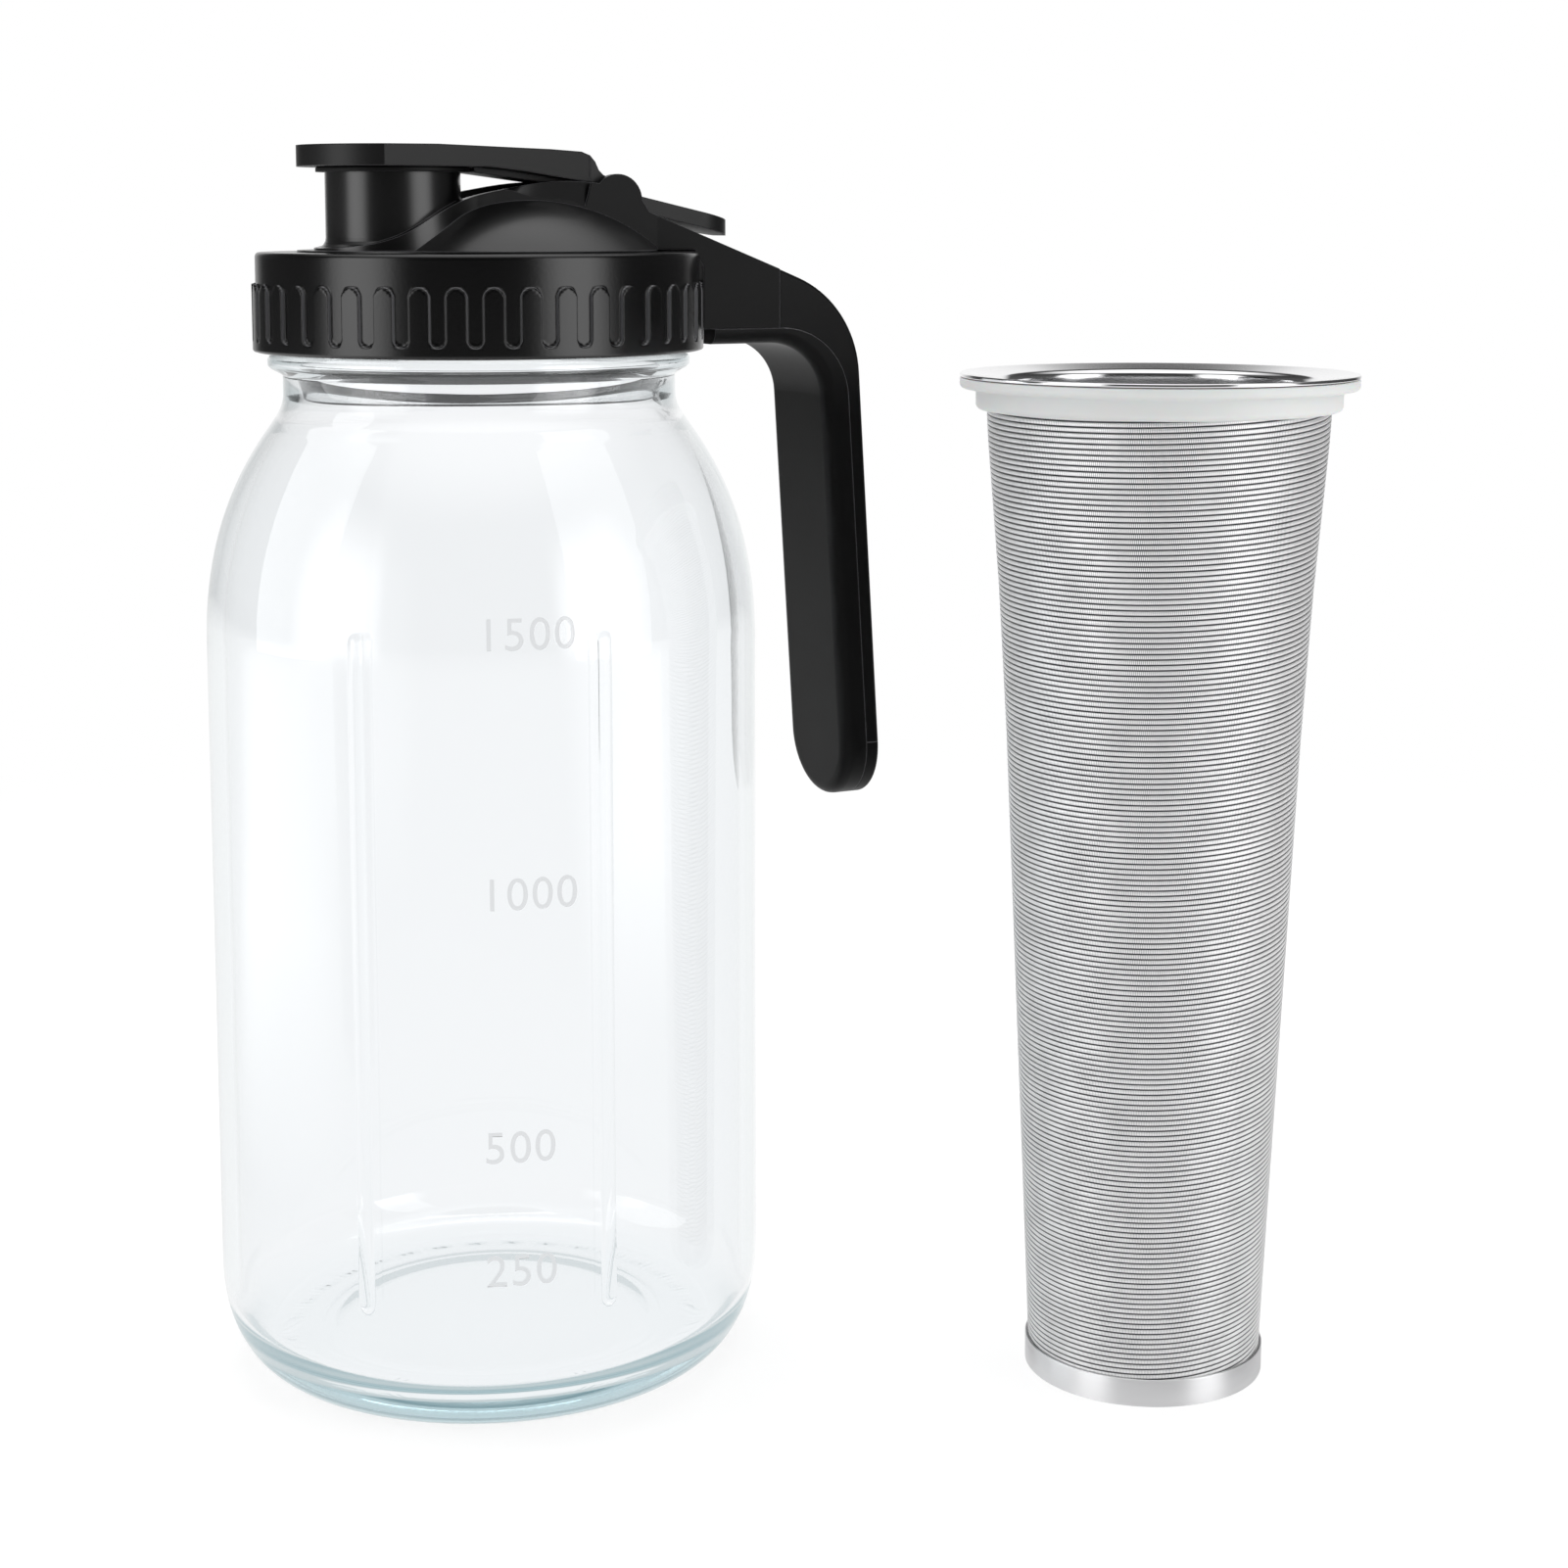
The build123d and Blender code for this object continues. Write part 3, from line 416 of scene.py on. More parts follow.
def steelMaterial(name):
    steel = steels[name]
    material, tree, shader = newMaterial(name, Base_Color=steel["colour"], Metallic=1.0,
                                         Roughness=steel["gloss"])
    lines = addNode(tree, "ShaderNodeGroup", {"Stretch": (1.0, 1.0, steel["stretch"]), "Gloss": steel["gloss"]},
                    node_tree=metalGroup)
    tree.links.new(lines.outputs["Roughness"], shader.inputs["Roughness"])
    addBump(tree, shader, lines.outputs["Height"], steel["grain"], metal["depth"])
    if "brushing" in steel:
        around = addNode(tree, "ShaderNodeTangent", direction_type="RADIAL", axis="Z")
        tree.links.new(around.outputs[0], shader.inputs["Tangent"])
        shader.inputs["Anisotropic"].default_value = steel["brushing"]
        shader.inputs["Anisotropic Rotation"].default_value = steel["brushTurn"]
    return material


polishedSteel, satinSteel, pinSteel, brushedSteel = (steelMaterial(name) for name in steels)

weave = {
    "bright": (0.98, 0.98, 0.985, 1), "grooveShade": (0.035, 0.035, 0.04, 1), "grooveEnds": (0.27, 0.45),
    "warpPitch": 0.36, "dashEnds": (0.22, 0.46), "dashShare": 0.9, "patchSize": 0.12,
    "wireDepth": 0.00008, "wireBump": 0.6, "gloss": 0.45, "metallic": 0.6,
}


# woven cloth: UV x runs round in millimetres and y counts the cross wires; painted shade darkens the grooves
# between the wires, and the warp shows as fine upright dashes of painted shade, set off by half a pitch from
# row to row
def buildWeave():
    material, tree, shader = newMaterial("wovenSteel", Metallic=weave["metallic"], Roughness=weave["gloss"])
    uv = coordinate(tree, "UV")
    parts = addNode(tree, "ShaderNodeSeparateXYZ", {0: uv})
    across, count = parts.outputs["X"], parts.outputs["Y"]

    def fromMiddle(value):
        return mathNode(tree, "ABSOLUTE", mathNode(tree, "SUBTRACT", mathNode(tree, "FRACT", value), 0.5))

    grooveShade = mapRange(tree, fromMiddle(count), weave["grooveEnds"], smooth=True)
    stagger = mathNode(tree, "MULTIPLY", mathNode(tree, "FLOOR", count), 0.5)
    warp = mathNode(tree, "MULTIPLY_ADD", across, 1 / weave["warpPitch"], stagger)
    dash = mapRange(tree, fromMiddle(warp), weave["dashEnds"], smooth=True)
    patchy = mathNode(tree, "MULTIPLY", dash, noise(tree, uv, weave["patchSize"], detail=3.0))
    # painted shade: the grooves and the warp dashes darken the base colour
    dark = mathNode(tree, "MULTIPLY_ADD", patchy, weave["dashShare"], grooveShade, clamp=True)
    tree.links.new(mixColours(tree, dark, weave["bright"], weave["grooveShade"]), shader.inputs["Base Color"])
    addBump(tree, shader, mathNode(tree, "SUBTRACT", 1.0, dark), weave["wireBump"], weave["wireDepth"])
    return material


wovenSteel = buildWeave()

slotMaterials = {
    "black_plastic": blackPlastic, "black_silicone": blackSilicone, "white_silicone": whiteSilicone,
    "clear_glass": clearGlass, "polished_steel": polishedSteel, "satin_steel": satinSteel,
    "pin_steel": pinSteel, "woven_steel": wovenSteel,
}
lidMaterials = {"lid_body": lidPlastic, "flip_cap": capPlastic, "handle_shell": handlePlastic,
                "handle_cover": handlePlastic, "handle_end_cap": handlePlastic}
for part in frame["record"]["subparts"]:
    materials = nodes[part["node"]].data.materials
    materials.clear()
    materials.append(lidMaterials.get(part["node"], slotMaterials[part["material_slot"]]))
print("materials ready", len(slotMaterials) + len(set(lidMaterials.values())))


# the jar's section in stretches of (radius, height), from under the foot up outside, over the rim, down inside
jar = {
    "side": 58.0, "bore": 54.5, "neck": 41.1, "mouth": 38.0, "columns": 296,
    "foot": ((0, 1.0), (28, 1.0), (31, 0.95), (33, 0.75), (35, 0.4), (36.7, 0.14), (38, 0.06), (44.0, 0.02),
             (45.6, 0.1)),
    "footStep": 1.3, "soleRows": 60, "soleHeight": 0.5,
    "heelStart": 45.0, "heelHeight": 21.4, "heelPower": 1.06, "heelTurns": (0.12, 1, 13),
    "sideRows": ((22.5, 30, 0.6), (31, 160, 4.3), (160.5, 167, 0.6)),  # from, to and step
    "shoulder": ((58, 156), (58, 182), (48.1, 196), (41.1, 205)), "shoulderSpan": (168, 202),
    "neckCorner": ((43.0, 202.6), (41.1, 205.2), (41.1, 207.8)),
    "bead": ((41.1, 209.8), (41.1, 211.6), (41.9, 212.2), (43.6, 213.1), (44.2, 213.8), (44.2, 215.2),
             (43.8, 215.8), (42.2, 216.1), (41.3, 216.3)),
    "threadSpan": (217.1, 228.9), "threadRows": 30,
    "rim": ((41.0, 229.4), (40.6, 229.8), (40.0, 230), (39.2, 230), (38.5, 229.8), (38.1, 229.4), (38.0, 228.8),
            (38, 224), (38, 218), (38, 214)),
    "rimStart": 229.3,
    "innerCorner": ((38, 213), (38, 206.5), (42.0, 201.3)),
    "innerShoulder": ((38, 207), (44.5, 197), (54.5, 180), (54.5, 156)), "innerStart": 200.5,
    "wallSpan": (151, 18), "wallRows": 26,
    "floorCorner": (45.5, 16.5), "floorRounding": 9, "floorSteps": 9,
    "floorLine": ((43, 7.5), (0, 7.25)), "floorRows": 14,
    "ribAngles": (-19.3, 30.0), "ribBottom": 27.0, "ribTop": 164.0, "ribHalf": 1.6, "ribProud": 0.66,
    "ribSpan": 2.3, "ribColumns": 21, "ribCrown": 0.7,
    "turns": 1.25, "threadProud": 1.9, "threadFlank": (0.55, 1.15), "threadRunOut": 0.05, "threadFloor": 216.9,
    "nubs": 132, "nubProud": 0.22, "nubFrom": 41.6, "nubTo": 45.4, "soleStart": 35,  # the foot's stipple
}


def jarOutline():
    foot = evenOut(np.array(jar["foot"]), jar["footStep"])
    # the heel is a quarter turn raised to a power a little over 1, which makes it slightly slacker than an arc
    turn = np.linspace(*jar["heelTurns"])[:, None] * np.pi / 2
    heel = np.hstack([jar["heelStart"] + (jar["side"] - jar["heelStart"]) * np.sin(turn) ** jar["heelPower"],
                      jar["heelHeight"] * (1 - np.cos(turn)) ** jar["heelPower"]])
    side = np.concatenate([np.arange(*rows) for rows in jar["sideRows"]])
    shoulder = bezier(jar["shoulder"], steps=400)
    straight = np.stack([np.interp(side, shoulder[:, 1], shoulder[:, 0]), side], 1)
    low, high = jar["shoulderSpan"]
    bend = evenOut(shoulder[(shoulder[:, 1] > low) & (shoulder[:, 1] < high)][::14], longest=3.0)
    neckCorner = roundCorner(jar["neckCorner"], steps=8)
    low, high = jar["threadSpan"]
    threads = np.linspace((jar["neck"], low), (jar["neck"], high), jar["threadRows"])
    innerCorner = roundCorner(jar["innerCorner"], steps=12)
    inside = bezier(jar["innerShoulder"], steps=40)
    inside = inside[inside[:, 1] < jar["innerStart"]]
    high, low = jar["wallSpan"]
    wall = np.linspace((jar["bore"], high), (jar["bore"], low), jar["wallRows"])
    turn = np.linspace(0, 1, jar["floorSteps"])[:, None] * np.pi / 2
    corner = np.hstack([jar["floorCorner"][0] + jar["floorRounding"] * np.cos(turn),
                        jar["floorCorner"][1] - jar["floorRounding"] * np.sin(turn)])
    floorLine = np.linspace(*jar["floorLine"], jar["floorRows"])
    return np.vstack([foot, heel, straight, bend, neckCorner, jar["bead"], threads, jar["rim"], innerCorner,
                      inside, wall, corner, floorLine])


# the outline turned round, then pushed out: a rib by (1 - square of the distance to its line) to a power, the
# thread by the distance to its helix, and the foot's stipple by the cosine of a multiple of the angle
def makeJar():
    outline = jarOutline()
    ribs = np.radians(jar["ribAngles"])
    fine = np.radians(np.linspace(-jar["ribSpan"], jar["ribSpan"], jar["ribColumns"]))
    even = np.linspace(-np.pi, np.pi, jar["columns"], endpoint=False)
    angle = np.unique(np.round(np.concatenate([even, *(rib + fine for rib in ribs)]), 5))[None, :]
    radius, height = outline[:, :1] + 0 * angle, outline[:, 1:] + 0 * angle
    order = np.arange(len(outline))[:, None]
    outside = order < np.argmax(outline[:, 1] > jar["rimStart"])
    ribLow, ribHigh = jar["ribBottom"] + jar["ribHalf"], jar["ribTop"] - jar["ribHalf"]
    for rib in ribs:
        across = jar["side"] * (angle - rib)
        beyond = np.maximum(0, np.maximum(ribLow - height, height - ribHigh))
        away = np.hypot(across, beyond) / jar["ribHalf"]
        radius += outside * jar["ribProud"] * np.maximum(0, 1 - away ** 2) ** jar["ribCrown"]
    turned, runOut = (angle + np.pi / 2) % (2 * np.pi), jar["threadRunOut"]
    for lap in (0, 1):
        along = turned / (2 * np.pi) + lap
        up = np.abs(height - thread["start"] - thread["pitch"] * along)
        begins, stops = ease(along, 0, runOut), ease(along, jar["turns"] - runOut, jar["turns"])
        ridge = (1 - ease(up, *jar["threadFlank"])) * begins * (1 - stops)
        radius += outside * (height > jar["threadFloor"]) * ridge * jar["threadProud"]
    sole = (height < jar["soleHeight"]) * (order < jar["soleRows"])
    nub = np.maximum(0, np.cos(jar["nubs"] * angle)) * ease(radius, jar["nubFrom"], jar["nubFrom"] + 1)
    nub = nub * (1 - ease(radius, jar["nubTo"] - 1, jar["nubTo"])) * sole
    height = height + jar["nubProud"] * (1 - nub) * sole * ease(radius, jar["soleStart"], jar["soleStart"] + 1)
    grid = aroundAxis(jarAxis, angle, radius, height)
    makePiece("pressedJar", grid, clearGlass, "jar", "glass_jar", smooth=50,
              closeRows=False)


# start is the angle where each number begins, radius the middle of its thickness, and middle the part of its
# size by which it is lowered, so that it is centred on its height
marks = {
    "heights": {1500: 164.5, 1000: 113.2, 500: 62.1, 250: 36.8}, "size": 9.2, "start": 4.8, "proud": 0.16,
    "thinning": 0.13, "bevel": 0.1, "spacing": 1.08, "radius": 57.93, "middle": 0.36,
}


# raised figures: flat text made a mesh, then wrapped round the jar's side, its x over the radius as the angle
def makeNumbers():
    for number, height in marks["heights"].items():
        curve = bpy.data.curves.new("figures", "FONT")
        curve.body = str(number)
        curve.size = marks["size"]
        curve.extrude = marks["proud"]
        curve.offset = -marks["thinning"]
        curve.bevel_depth = marks["bevel"]
        curve.space_character = marks["spacing"]
        flat = bpy.data.objects.new("figures", curve)
        bpy.context.scene.collection.objects.link(flat)
        mesh = bpy.data.meshes.new_from_object(flat.evaluated_get(bpy.context.evaluated_depsgraph_get()))
        bpy.data.objects.remove(flat)
        place = readPlaces(mesh)
        angle = np.radians(marks["start"]) + place[:, 0] / jar["side"]
        middle = height - marks["middle"] * marks["size"]
        wrapped = aroundAxis(jarAxis, angle, marks["radius"] + place[:, 2], middle + place[:, 1]) * mm
        mesh.vertices.foreach_set("co", wrapped.ravel())
        mesh.materials.clear()
        mesh.materials.append(figureGlass)
        linkPiece(f"volumeMark{number}", mesh, "jar")


makeJar()
makeNumbers()
print("jar ready")


# heights are counted down from the band's top; turn is in degrees, the rest in millimetres
band = {
    # line is the width of the painted highlight along the tongues' edges
    "tongues": 40, "turn": 0.7, "tongueHalf": 2.1, "top": -6.4, "bottom": -18.2, "upper": 46.3, "grip": 47.1,
    "edge": 0.24, "line": 0.11, "height": 20.5, "opening": 38.05, "flange": 2.5, "neckGap": 44.4,
    "innerRows": 34, "threadCrest": 42.2, "threadFlank": (0.5, 1.15), "threadStart": (0, 0.3),
    "threadStop": (6.0, 6.28), "topRounding": (0, 0.9, 0.5, 0.3, 0), "topSteps": 5, "flangeInside": 43.0,
    # radius, and height above the band's lower edge
    "lowerEdge": ((44.5, 0.2), (44.8, 0.0), (46.4, 0.0), (46.9, 0.15), (47.08, 0.4)),
    "columnSteps": (0, 0.7, 1.4, 1.8, 1.97, 2.04, 2.1, 2.16, 2.23, 2.4, 2.9), "rowStep": 0.12,
}
bandPeriod = 2 * np.pi * band["grip"] / band["tongues"]
gapHalf = bandPeriod / 2 - band["tongueHalf"]


# distance into the raised grip: inside a tongue by its round top and sides, outside a gap by its round foot
def gripDepth(across, height):
    inTop = band["tongueHalf"] - np.hypot(across, np.maximum(0, height - (band["top"] - band["tongueHalf"])))
    belowGap = np.maximum(0, band["bottom"] + gapHalf - height)
    inFoot = np.hypot(bandPeriod / 2 - np.abs(across), belowGap) - gapHalf
    return np.where(height > (band["top"] + band["bottom"]) / 2, inTop, inFoot)


# the same distance in nodes, from the band's own UV: both round ends together, less the straight side
def buildBandMaterial():
    material, tree, shader = plasticMaterial("satinBlackBand", plastic["gloss"], plastic["specular"])

    def subtract(first, second):
        return mathNode(tree, "SUBTRACT", first, second)

    def length(x, y):
        return vectorNode(tree, "LENGTH", addNode(tree, "ShaderNodeCombineXYZ", {0: x, 1: y}).outputs[0])

    uv = addNode(tree, "ShaderNodeSeparateXYZ", {0: coordinate(tree, "UV")})
    across, height = uv.outputs["X"], uv.outputs["Y"]
    above = mathNode(tree, "MAXIMUM", subtract(height, band["top"] - band["tongueHalf"]), 0.0)
    below = mathNode(tree, "MAXIMUM", subtract(band["bottom"] + gapHalf, height), 0.0)
    inTop = subtract(band["tongueHalf"], length(across, above))
    inFoot = subtract(length(subtract(bandPeriod / 2, across), below), gapHalf)
    side = subtract(band["tongueHalf"], across)
    away = mathNode(tree, "ABSOLUTE", subtract(mathNode(tree, "ADD", inTop, inFoot), side))
    # painted highlight: a pale line is painted into the base colour where the distance crosses the tongues'
    # edge
    share = mapRange(tree, away, (band["line"], 0.3 * band["line"]), smooth=True)
    tree.links.new(mixColours(tree, share, plastic["black"], plastic["line"]), shader.inputs["Base Color"])
    return material


# a closed outline turned round; its outer skin is pushed out by the grip's depth, its bore in by the thread
def makeBand():
    steps = np.array(band["columnSteps"])
    across = np.concatenate([steps, [bandPeriod / 2], bandPeriod - steps[:0:-1]])
    angle = (across[None, :] + bandPeriod * np.arange(band["tongues"])[:, None]).ravel() / band["grip"]
    angle = (angle + radians(band["turn"]))[None, :]
    across = np.tile(np.minimum(across, bandPeriod - across), band["tongues"])[None, :]
    top, foot, low, flange = band["top"], band["bottom"], -band["height"], -band["flange"]
    step = band["rowStep"]
    outer = np.concatenate([
        np.linspace(-1.2, top + 0.5, 6),  # above the tongues
        np.arange(top + 0.24, top - 2.4, -step),  # their round tops, in close rows
        np.linspace(top - 2.6, foot + 2.0, 8),  # their straight sides
        np.arange(foot + 1.8, foot - 0.3, -step),  # the round feet of the gaps, in close rows
        [foot - 0.7, low + 0.9, low + 0.6],  # below them
    ])
    outerLine = np.stack([np.full(len(outer), band["upper"]), outer], 1)
    # its first and last corners only lead the line in and out, and are left off
    arcSteps = band["topSteps"]
    topLine = softCorners([(band["upper"], -4), (band["upper"], 0), (band["opening"], 0),
                           (band["opening"], flange), (band["flangeInside"], flange)],
                          band["topRounding"], arcSteps)[arcSteps:-arcSteps]
    inner = np.linspace((band["neckGap"], flange - 0.4), (band["neckGap"], low + 0.6), band["innerRows"])
    bottomLine = np.array(band["lowerEdge"]) + (0, low)
    outline = np.vstack([bottomLine, outerLine[::-1], topLine, [(band["neckGap"], flange)], inner])
    radius, height = outline[:, :1] + 0 * angle, outline[:, 1:] + 0 * angle
    rows = np.arange(len(outline))[:, None]
    skin = (rows >= len(bottomLine)) & (rows < len(bottomLine) + len(outer))
    raised = ease(gripDepth(across, height), -band["edge"] / 2, band["edge"] / 2)
    radius += skin * (band["grip"] - band["upper"]) * raised
    turned = (angle + np.pi) % (2 * np.pi)
    up = np.abs(height - (thread["start"] - bandTop) - thread["pitch"] * (turned / (2 * np.pi) - 0.25))
    begins, stops = ease(turned, *band["threadStart"]), ease(turned, *band["threadStop"])
    ridge = (1 - ease(up, *band["threadFlank"])) * begins * (1 - stops)
    bore = rows >= len(outline) - band["innerRows"]
    radius -= bore * ridge * (band["neckGap"] - band["threadCrest"])
    grid = aroundAxis(jarAxis, angle, radius, height + bandTop)
    piece = makePiece("screwBand", grid, buildBandMaterial(), "band", "screw_band", smooth=60)
    mesh = piece.data
    # the pattern's own UV: distance from the middle of the nearest tongue, and height from the band's top, with
    # every place off the outer skin put far above the pattern
    place = readPlaces(mesh) / mm
    around = (angleRound(jarAxis, place) - radians(band["turn"])) * band["grip"]
    fromTongue = np.abs((around + bandPeriod / 2) % bandPeriod - bandPeriod / 2)
    outside = np.hypot(place[:, 0] - jarAxis[0], place[:, 1] - jarAxis[1]) > band["upper"] - 0.05
    patternHeight = np.where(outside, place[:, 2] - bandTop, 20.0)
    uv = np.stack([fromTongue, patternHeight], 1)[readCorners(mesh)]
    mesh.uv_layers.new(name="grip").data.foreach_set("uv", uv.ravel())


makeBand()
print("band ready")


# the cloth is a rolled flat sheet, so its cross wires climb away from the sheet's middle line
cloth = {
    "top": 210.6, "bottom": 1.0, "columns": 104, "wirePitch": 1.1, "sheetMiddle": -40.0, "apexDistance": 566.0,
    "taper": 0.053, "rowPhases": (0.0, 0.16, 0.5, 0.84), "rowDepths": (-0.17, -0.03, 0.0, -0.03),
    "thickness": 0.55, "innerRows": 24, "meanRadius": 30.0, "rowOffset": 100,
    "profile": ((24.58, 1.0), (24.68, 6.5), (25.9, 34.0), (28.3, 86.4), (30.6, 137.2), (32.5, 168.2),
                (35.0, 198.5), (35.28, 203.5), (35.28, 210.7)),
}


# climb of a cross wire at an angle: apex distance x (1 / cos(angle from the sheet's middle x taper) - 1)
def wireClimb(angle):
    turnFrom = (angle - np.radians(cloth["sheetMiddle"]) + np.pi) % (2 * np.pi) - np.pi
    return cloth["apexDistance"] * (1 / np.cos(turnFrom * cloth["taper"]) - 1)


# rows follow the cross wires, sunk between them by the row depths, and are cut off at both ends of the tube
def makeCloth():
    pitch, bottom, top = cloth["wirePitch"], cloth["bottom"], cloth["top"]
    profile = np.array(cloth["profile"])
    angle = np.linspace(0, 2 * np.pi, cloth["columns"], endpoint=False)
    climb = wireClimb(angle)
    count = int((top - bottom + climb.max()) / pitch) + 1
    line = (np.arange(count)[:, None] + np.array(cloth["rowPhases"])).ravel() * pitch + bottom - climb.max()
    sunk = np.tile(cloth["rowDepths"], count)
    height = np.clip(line[:, None] + climb[None, :], bottom, top)
    radius = np.interp(height, profile[:, 1], profile[:, 0]) + sunk[:, None]
    innerHeight = np.linspace(top, bottom, cloth["innerRows"])[:, None] + 0 * angle[None, :]
    innerRadius = np.interp(innerHeight, profile[:, 1], profile[:, 0]) - cloth["thickness"]
    grid = np.vstack([aroundAxis(filterAxis, angle, radius, height),
                      aroundAxis(filterAxis, angle, innerRadius, innerHeight)])
    mesh = makePiece("wovenTube", grid, wovenSteel, "filter", "filter_mesh", smooth=60).data
    # UV: millimetres round the sheet, and the number of the cross wire; faces over the seam go past a full turn
    corner = readCorners(mesh)
    place = (readPlaces(mesh) / mm)[corner]
    around = angleRound(filterAxis, place)
    faceSize = np.empty(len(mesh.polygons), int)
    mesh.polygons.foreach_get("loop_total", faceSize)
    owner = np.repeat(np.arange(len(faceSize)), faceSize)
    furthest = np.zeros(len(faceSize))
    np.maximum.at(furthest, owner, around)
    around = np.where(furthest[owner] - around > np.pi, around + 2 * np.pi, around)
    wire = (place[:, 2] - wireClimb(around) - bottom) / pitch + cloth["rowOffset"]
    uv = np.stack([around * cloth["meanRadius"], wire], 1)
    mesh.uv_layers.new(name="weave").data.foreach_set("uv", uv.ravel())


# closed outlines turned round the filter's axis: corners, and the rounding of each
rim = {
    "corners": ((40.99, 211.75), (40.99, 212.5), (40.0, 212.42), (34.0, 211.5), (32.0, 211.2), (32.0, 207.6),
                (32.75, 207.6), (32.8, 210.4), (34.2, 210.7)),
    "rounding": (0.2, 0.25, 3.0, 2.0, 1.3, 0.2, 0.2, 0.6, 0.5), "steps": 7,
}
seal = {
    "corners": ((35.4, 210.7), (40.95, 211.6), (40.95, 209.3), (37.6, 209.3), (37.6, 204.9), (35.4, 204.9)),
    "rounding": (0.1, 0.35, 0.9, 0.5, 1.2, 0.1), "steps": 6,
}
baseBand = {
    "corners": ((24.8, 0.0), (25.24, 0.0), (25.24, 5.8), (24.8, 5.8)), "rounding": (0.1, 0.15, 0.18, 0.1),
    "steps": 4,
}


def turnedPiece(name, sizes, material, replaced, columns=192):
    outline = softCorners(sizes["corners"], sizes["rounding"], sizes["steps"])
    angle = np.linspace(0, 2 * np.pi, columns, endpoint=False)[None, :]
    grid = aroundAxis(filterAxis, angle, outline[:, :1], outline[:, 1:])
    makePiece(name, grid, material, "filter", replaced, smooth=60)


makeCloth()
turnedPiece("steelRim", rim, polishedSteel, "filter_rim")
turnedPiece("siliconeSeal", seal, whiteSilicone, "filter_seal")
turnedPiece("baseBand", baseBand, brushedSteel, "filter_base_band")
print("filter ready")


studio = {
    "cameraPlace": (0.0019, -0.589, 0.2442), "cameraTilt": 82.8, "lens": 63.989, "shiftY": -0.1367,
    "floorSize": 30.0, "floorGlow": 0.79, "floorAlbedo": 0.30, "floorPlain": 0.8, "worldLight": 0.5,
    # what gloss sees: levels of walls, ceiling and floor, and soft boxes by heading, in degrees from the front
    "wallGloss": 0.1, "frontGloss": 0.05, "ceilingGloss": 0.05, "topBox": 1.8, "floorGloss": 0.9,
    "boxes": {"headings": (-57.0, 56.0), "peak": 3.0, "reach": 0.915},
    "floorBoxes": {"headings": (-84.0, 66.0), "peak": 0.9, "reach": 0.84},
    # what glass sees: the level at the sides, and inside its own wall
    "sideGlass": 0.66, "insideGlass": 0.78,
    # where one level gives way to the next: parts of the direction in the world, and metres on the floor
    "frontToSide": (-0.75, -0.1), "ceilingToBox": (0.55, 0.95), "wallToCeiling": (0.15, 0.65),
    "sideToBack": (0.75, 0.98), "backWallTop": (0.24, 0.38), "sideToWhite": (0.1, 0.5),
    "litToWhite": (0.25, 0.7), "boxesBegin": (0.22, 0.5), "nearToFar": (0.9, 2.6), "underObject": (0.2, 0.35),
}
scene = bpy.context.scene
scene.view_settings.view_transform = "Standard"
cameraData = bpy.data.cameras.new("camera")
cameraData.lens = studio["lens"]
cameraData.sensor_width = 36
cameraData.shift_y = studio["shiftY"]
cameraData.clip_start = 0.01
camera = bpy.data.objects.new("camera", cameraData)
camera.location = studio["cameraPlace"]
camera.rotation_euler = (radians(studio["cameraTilt"]), 0, 0)
scene.collection.objects.link(camera)
scene.camera = camera


# light for rays that should meet the white background: all of it for the camera, the given levels through glass
# and off gloss, and a pale one for gloss inside the jar's wall
def seenRay(tree, glossLevel, glassLevel):
    ray = addNode(tree, "ShaderNodeLightPath")
    inside = mathNode(tree, "MULTIPLY", ray.outputs["Transmission Depth"], studio["insideGlass"])
    inside = mathNode(tree, "MINIMUM", inside, studio["insideGlass"])
    bright = mathNode(tree, "MAXIMUM", inside, glossLevel)
    gloss = mathNode(tree, "MULTIPLY", ray.outputs["Is Glossy Ray"], bright)
    through = mathNode(tree, "MULTIPLY", ray.outputs["Is Transmission Ray"], glassLevel)
    both = mathNode(tree, "MAXIMUM", ray.outputs["Is Camera Ray"], through)
    return mathNode(tree, "MAXIMUM", both, gloss)


def levelDirection(tree, place):
    return vectorNode(tree, "NORMALIZE", vectorNode(tree, "MULTIPLY", place, (1, 1, 0)))


# tall soft boxes, seen by gloss only: a smooth bump round each heading
def softBoxes(tree, direction, boxes):
    total = 0.0
    for heading in boxes["headings"]:
        toward = (np.sin(radians(heading)), -np.cos(radians(heading)), 0)
        near = vectorNode(tree, "DOT_PRODUCT", direction, toward)
        box = mapRange(tree, near, (boxes["reach"], 1.0), (0.0, boxes["peak"]), smooth=True)
        total = mathNode(tree, "ADD", box, total)
    return total


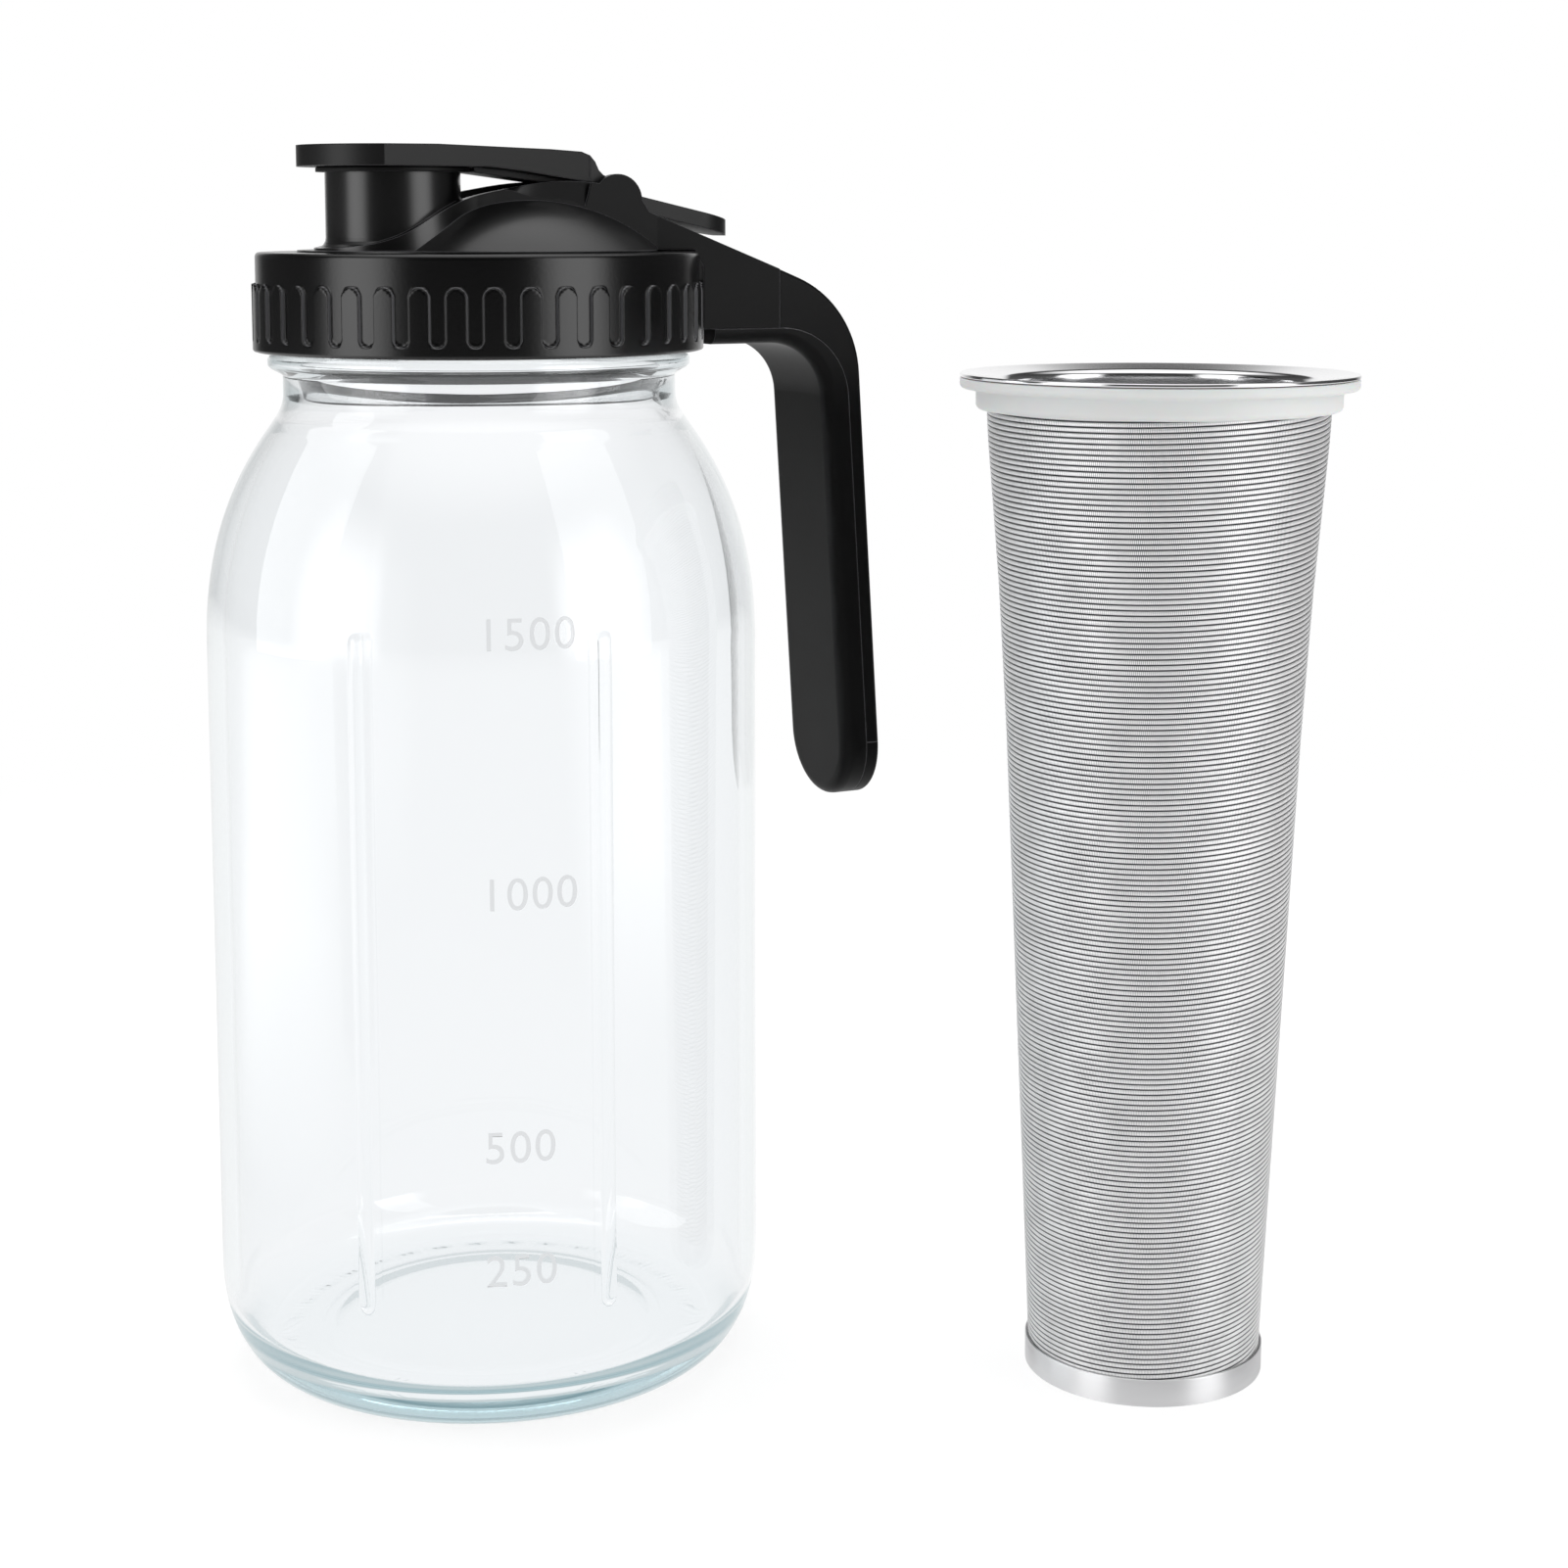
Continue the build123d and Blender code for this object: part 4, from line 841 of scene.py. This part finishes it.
# gloss sees dark walls with the soft boxes in front of them, a dim ceiling above and a white wall behind the
# object; what glass bends to the side meets a wall a little darker than white
def buildWorld():
    world = bpy.data.worlds.new("studio")
    world.use_nodes = True
    scene.world = world
    tree = world.node_tree
    place = coordinate(tree, "Generated")
    heading = addNode(tree, "ShaderNodeSeparateXYZ", {0: place})
    back, up = heading.outputs["Y"], heading.outputs["Z"]
    wallLevels = (studio["frontGloss"], studio["wallGloss"])
    ceilingLevels = (studio["ceilingGloss"], studio["topBox"])
    sides = mapRange(tree, back, studio["frontToSide"], wallLevels, smooth=True)
    sides = mathNode(tree, "ADD", sides, softBoxes(tree, levelDirection(tree, place), studio["boxes"]))
    ceiling = mapRange(tree, up, studio["ceilingToBox"], ceilingLevels, smooth=True)
    walls = mapRange(tree, up, studio["wallToCeiling"], (sides, ceiling), smooth=True)
    behind = mapRange(tree, back, studio["sideToBack"], smooth=True)
    low = mapRange(tree, up, studio["backWallTop"], (1.0, 0.0), smooth=True)
    gloss = mathNode(tree, "MAXIMUM", walls, mathNode(tree, "MULTIPLY", behind, low))
    sideGlass = mapRange(tree, back, studio["sideToWhite"], (studio["sideGlass"], 1.0))
    diffuse = mathNode(tree, "MULTIPLY", addNode(tree, "ShaderNodeLightPath").outputs["Is Diffuse Ray"],
                       studio["worldLight"])
    level = mathNode(tree, "MAXIMUM", seenRay(tree, gloss, sideGlass), diffuse)
    background = tree.nodes["Background"]
    background.inputs["Color"].default_value = (1, 1, 1, 1)
    tree.links.new(level, background.inputs["Strength"])


# near the object the floor glows a little less than white and takes the soft shadow; far off, and through
# glass, it is plain white; gloss sees it bright near the object, and far off as dark as the walls, with the
# soft boxes mirrored in it
def buildFloorMaterial():
    material = bpy.data.materials.new("paleFloor")
    material.use_nodes = True
    tree = material.node_tree
    tree.nodes.remove(tree.nodes["Principled BSDF"])
    plain, shaded = (addNode(tree, "ShaderNodeBsdfDiffuse", {"Color": (albedo, albedo, albedo, 1)}).outputs[0]
                     for albedo in (studio["floorPlain"], studio["floorAlbedo"]))
    glow = addNode(tree, "ShaderNodeEmission", {"Strength": studio["floorGlow"]}).outputs[0]
    lit = addNode(tree, "ShaderNodeAddShader", {0: shaded, 1: glow}).outputs[0]
    place = coordinate(tree, "Object")
    far = vectorNode(tree, "LENGTH", place)
    direction = levelDirection(tree, place)
    ray = addNode(tree, "ShaderNodeLightPath")
    notSeen = mathNode(tree, "SUBTRACT", 1.0, ray.outputs["Is Camera Ray"])
    whiteShare = mathNode(tree, "MAXIMUM", mapRange(tree, far, studio["litToWhite"], smooth=True), notSeen)
    nearBoxes = softBoxes(tree, direction, studio["floorBoxes"])
    nearGloss = mathNode(tree, "MULTIPLY_ADD", nearBoxes, mapRange(tree, far, studio["boxesBegin"]),
                         studio["floorGloss"])
    farGloss = mathNode(tree, "ADD", softBoxes(tree, direction, studio["boxes"]), studio["frontGloss"])
    gloss = mapRange(tree, far, studio["nearToFar"], (nearGloss, farGloss), smooth=True)
    toBack = addNode(tree, "ShaderNodeSeparateXYZ", {0: direction}).outputs["Y"]
    gloss = mathNode(tree, "MAXIMUM", gloss, mapRange(tree, toBack, studio["sideToBack"]))
    sideGlass = mapRange(tree, toBack, studio["sideToWhite"], (studio["sideGlass"], 1.0))
    underObject = mapRange(tree, far, studio["underObject"], (1.0, sideGlass))
    level = seenRay(tree, gloss, underObject)
    white = addNode(tree, "ShaderNodeEmission", {"Strength": level}).outputs[0]
    kind = mathNode(tree, "MAXIMUM", ray.outputs["Is Camera Ray"], ray.outputs["Is Transmission Ray"])
    kind = mathNode(tree, "MAXIMUM", kind, ray.outputs["Is Glossy Ray"])
    setSurface(tree, mixShaders(tree, kind, plain, mixShaders(tree, whiteShare, lit, white)))
    return material


def makeFloor():
    mesh = bpy.data.meshes.new("floor")
    edge = studio["floorSize"]
    corners = [(-edge, -edge, 0), (edge, -edge, 0), (edge, edge, 0), (-edge, edge, 0)]
    mesh.from_pydata(corners, [], [(0, 1, 2, 3)])
    mesh.materials.append(buildFloorMaterial())
    floor = bpy.data.objects.new("floor", mesh)
    scene.collection.objects.link(floor)


# place, target and size in metres, power in watts; gloss sees the soft boxes instead of these
lamps = {
    "keyLeft": {"place": (-1.25, -0.15, 0.4), "target": (0, 0, 0.12), "size": (0.9, 1.8), "power": 9},
    "keyRight": {"place": (1.1, -0.6, 0.4), "target": (0, 0, 0.12), "size": (0.9, 1.8), "power": 8},
    "topSoft": {"place": (0.0, 0.25, 1.1), "target": (0, 0, 0.1), "size": (0.9, 0.6), "power": 6},
}


def areaLight(name, lamp):
    data = bpy.data.lights.new(name, "AREA")
    data.shape = "RECTANGLE"
    data.size, data.size_y = lamp["size"]
    data.energy = lamp["power"]
    light = bpy.data.objects.new(name, data)
    light.visible_glossy = False
    light.location = lamp["place"]
    x, y, z = np.array(lamp["place"]) - np.array(lamp["target"])
    light.rotation_euler = (np.arctan2(np.hypot(x, y), z), 0, np.arctan2(x, -y))
    scene.collection.objects.link(light)


buildWorld()
makeFloor()
for name, lamp in lamps.items():
    areaLight(name, lamp)
print("camera, floor and light ready")
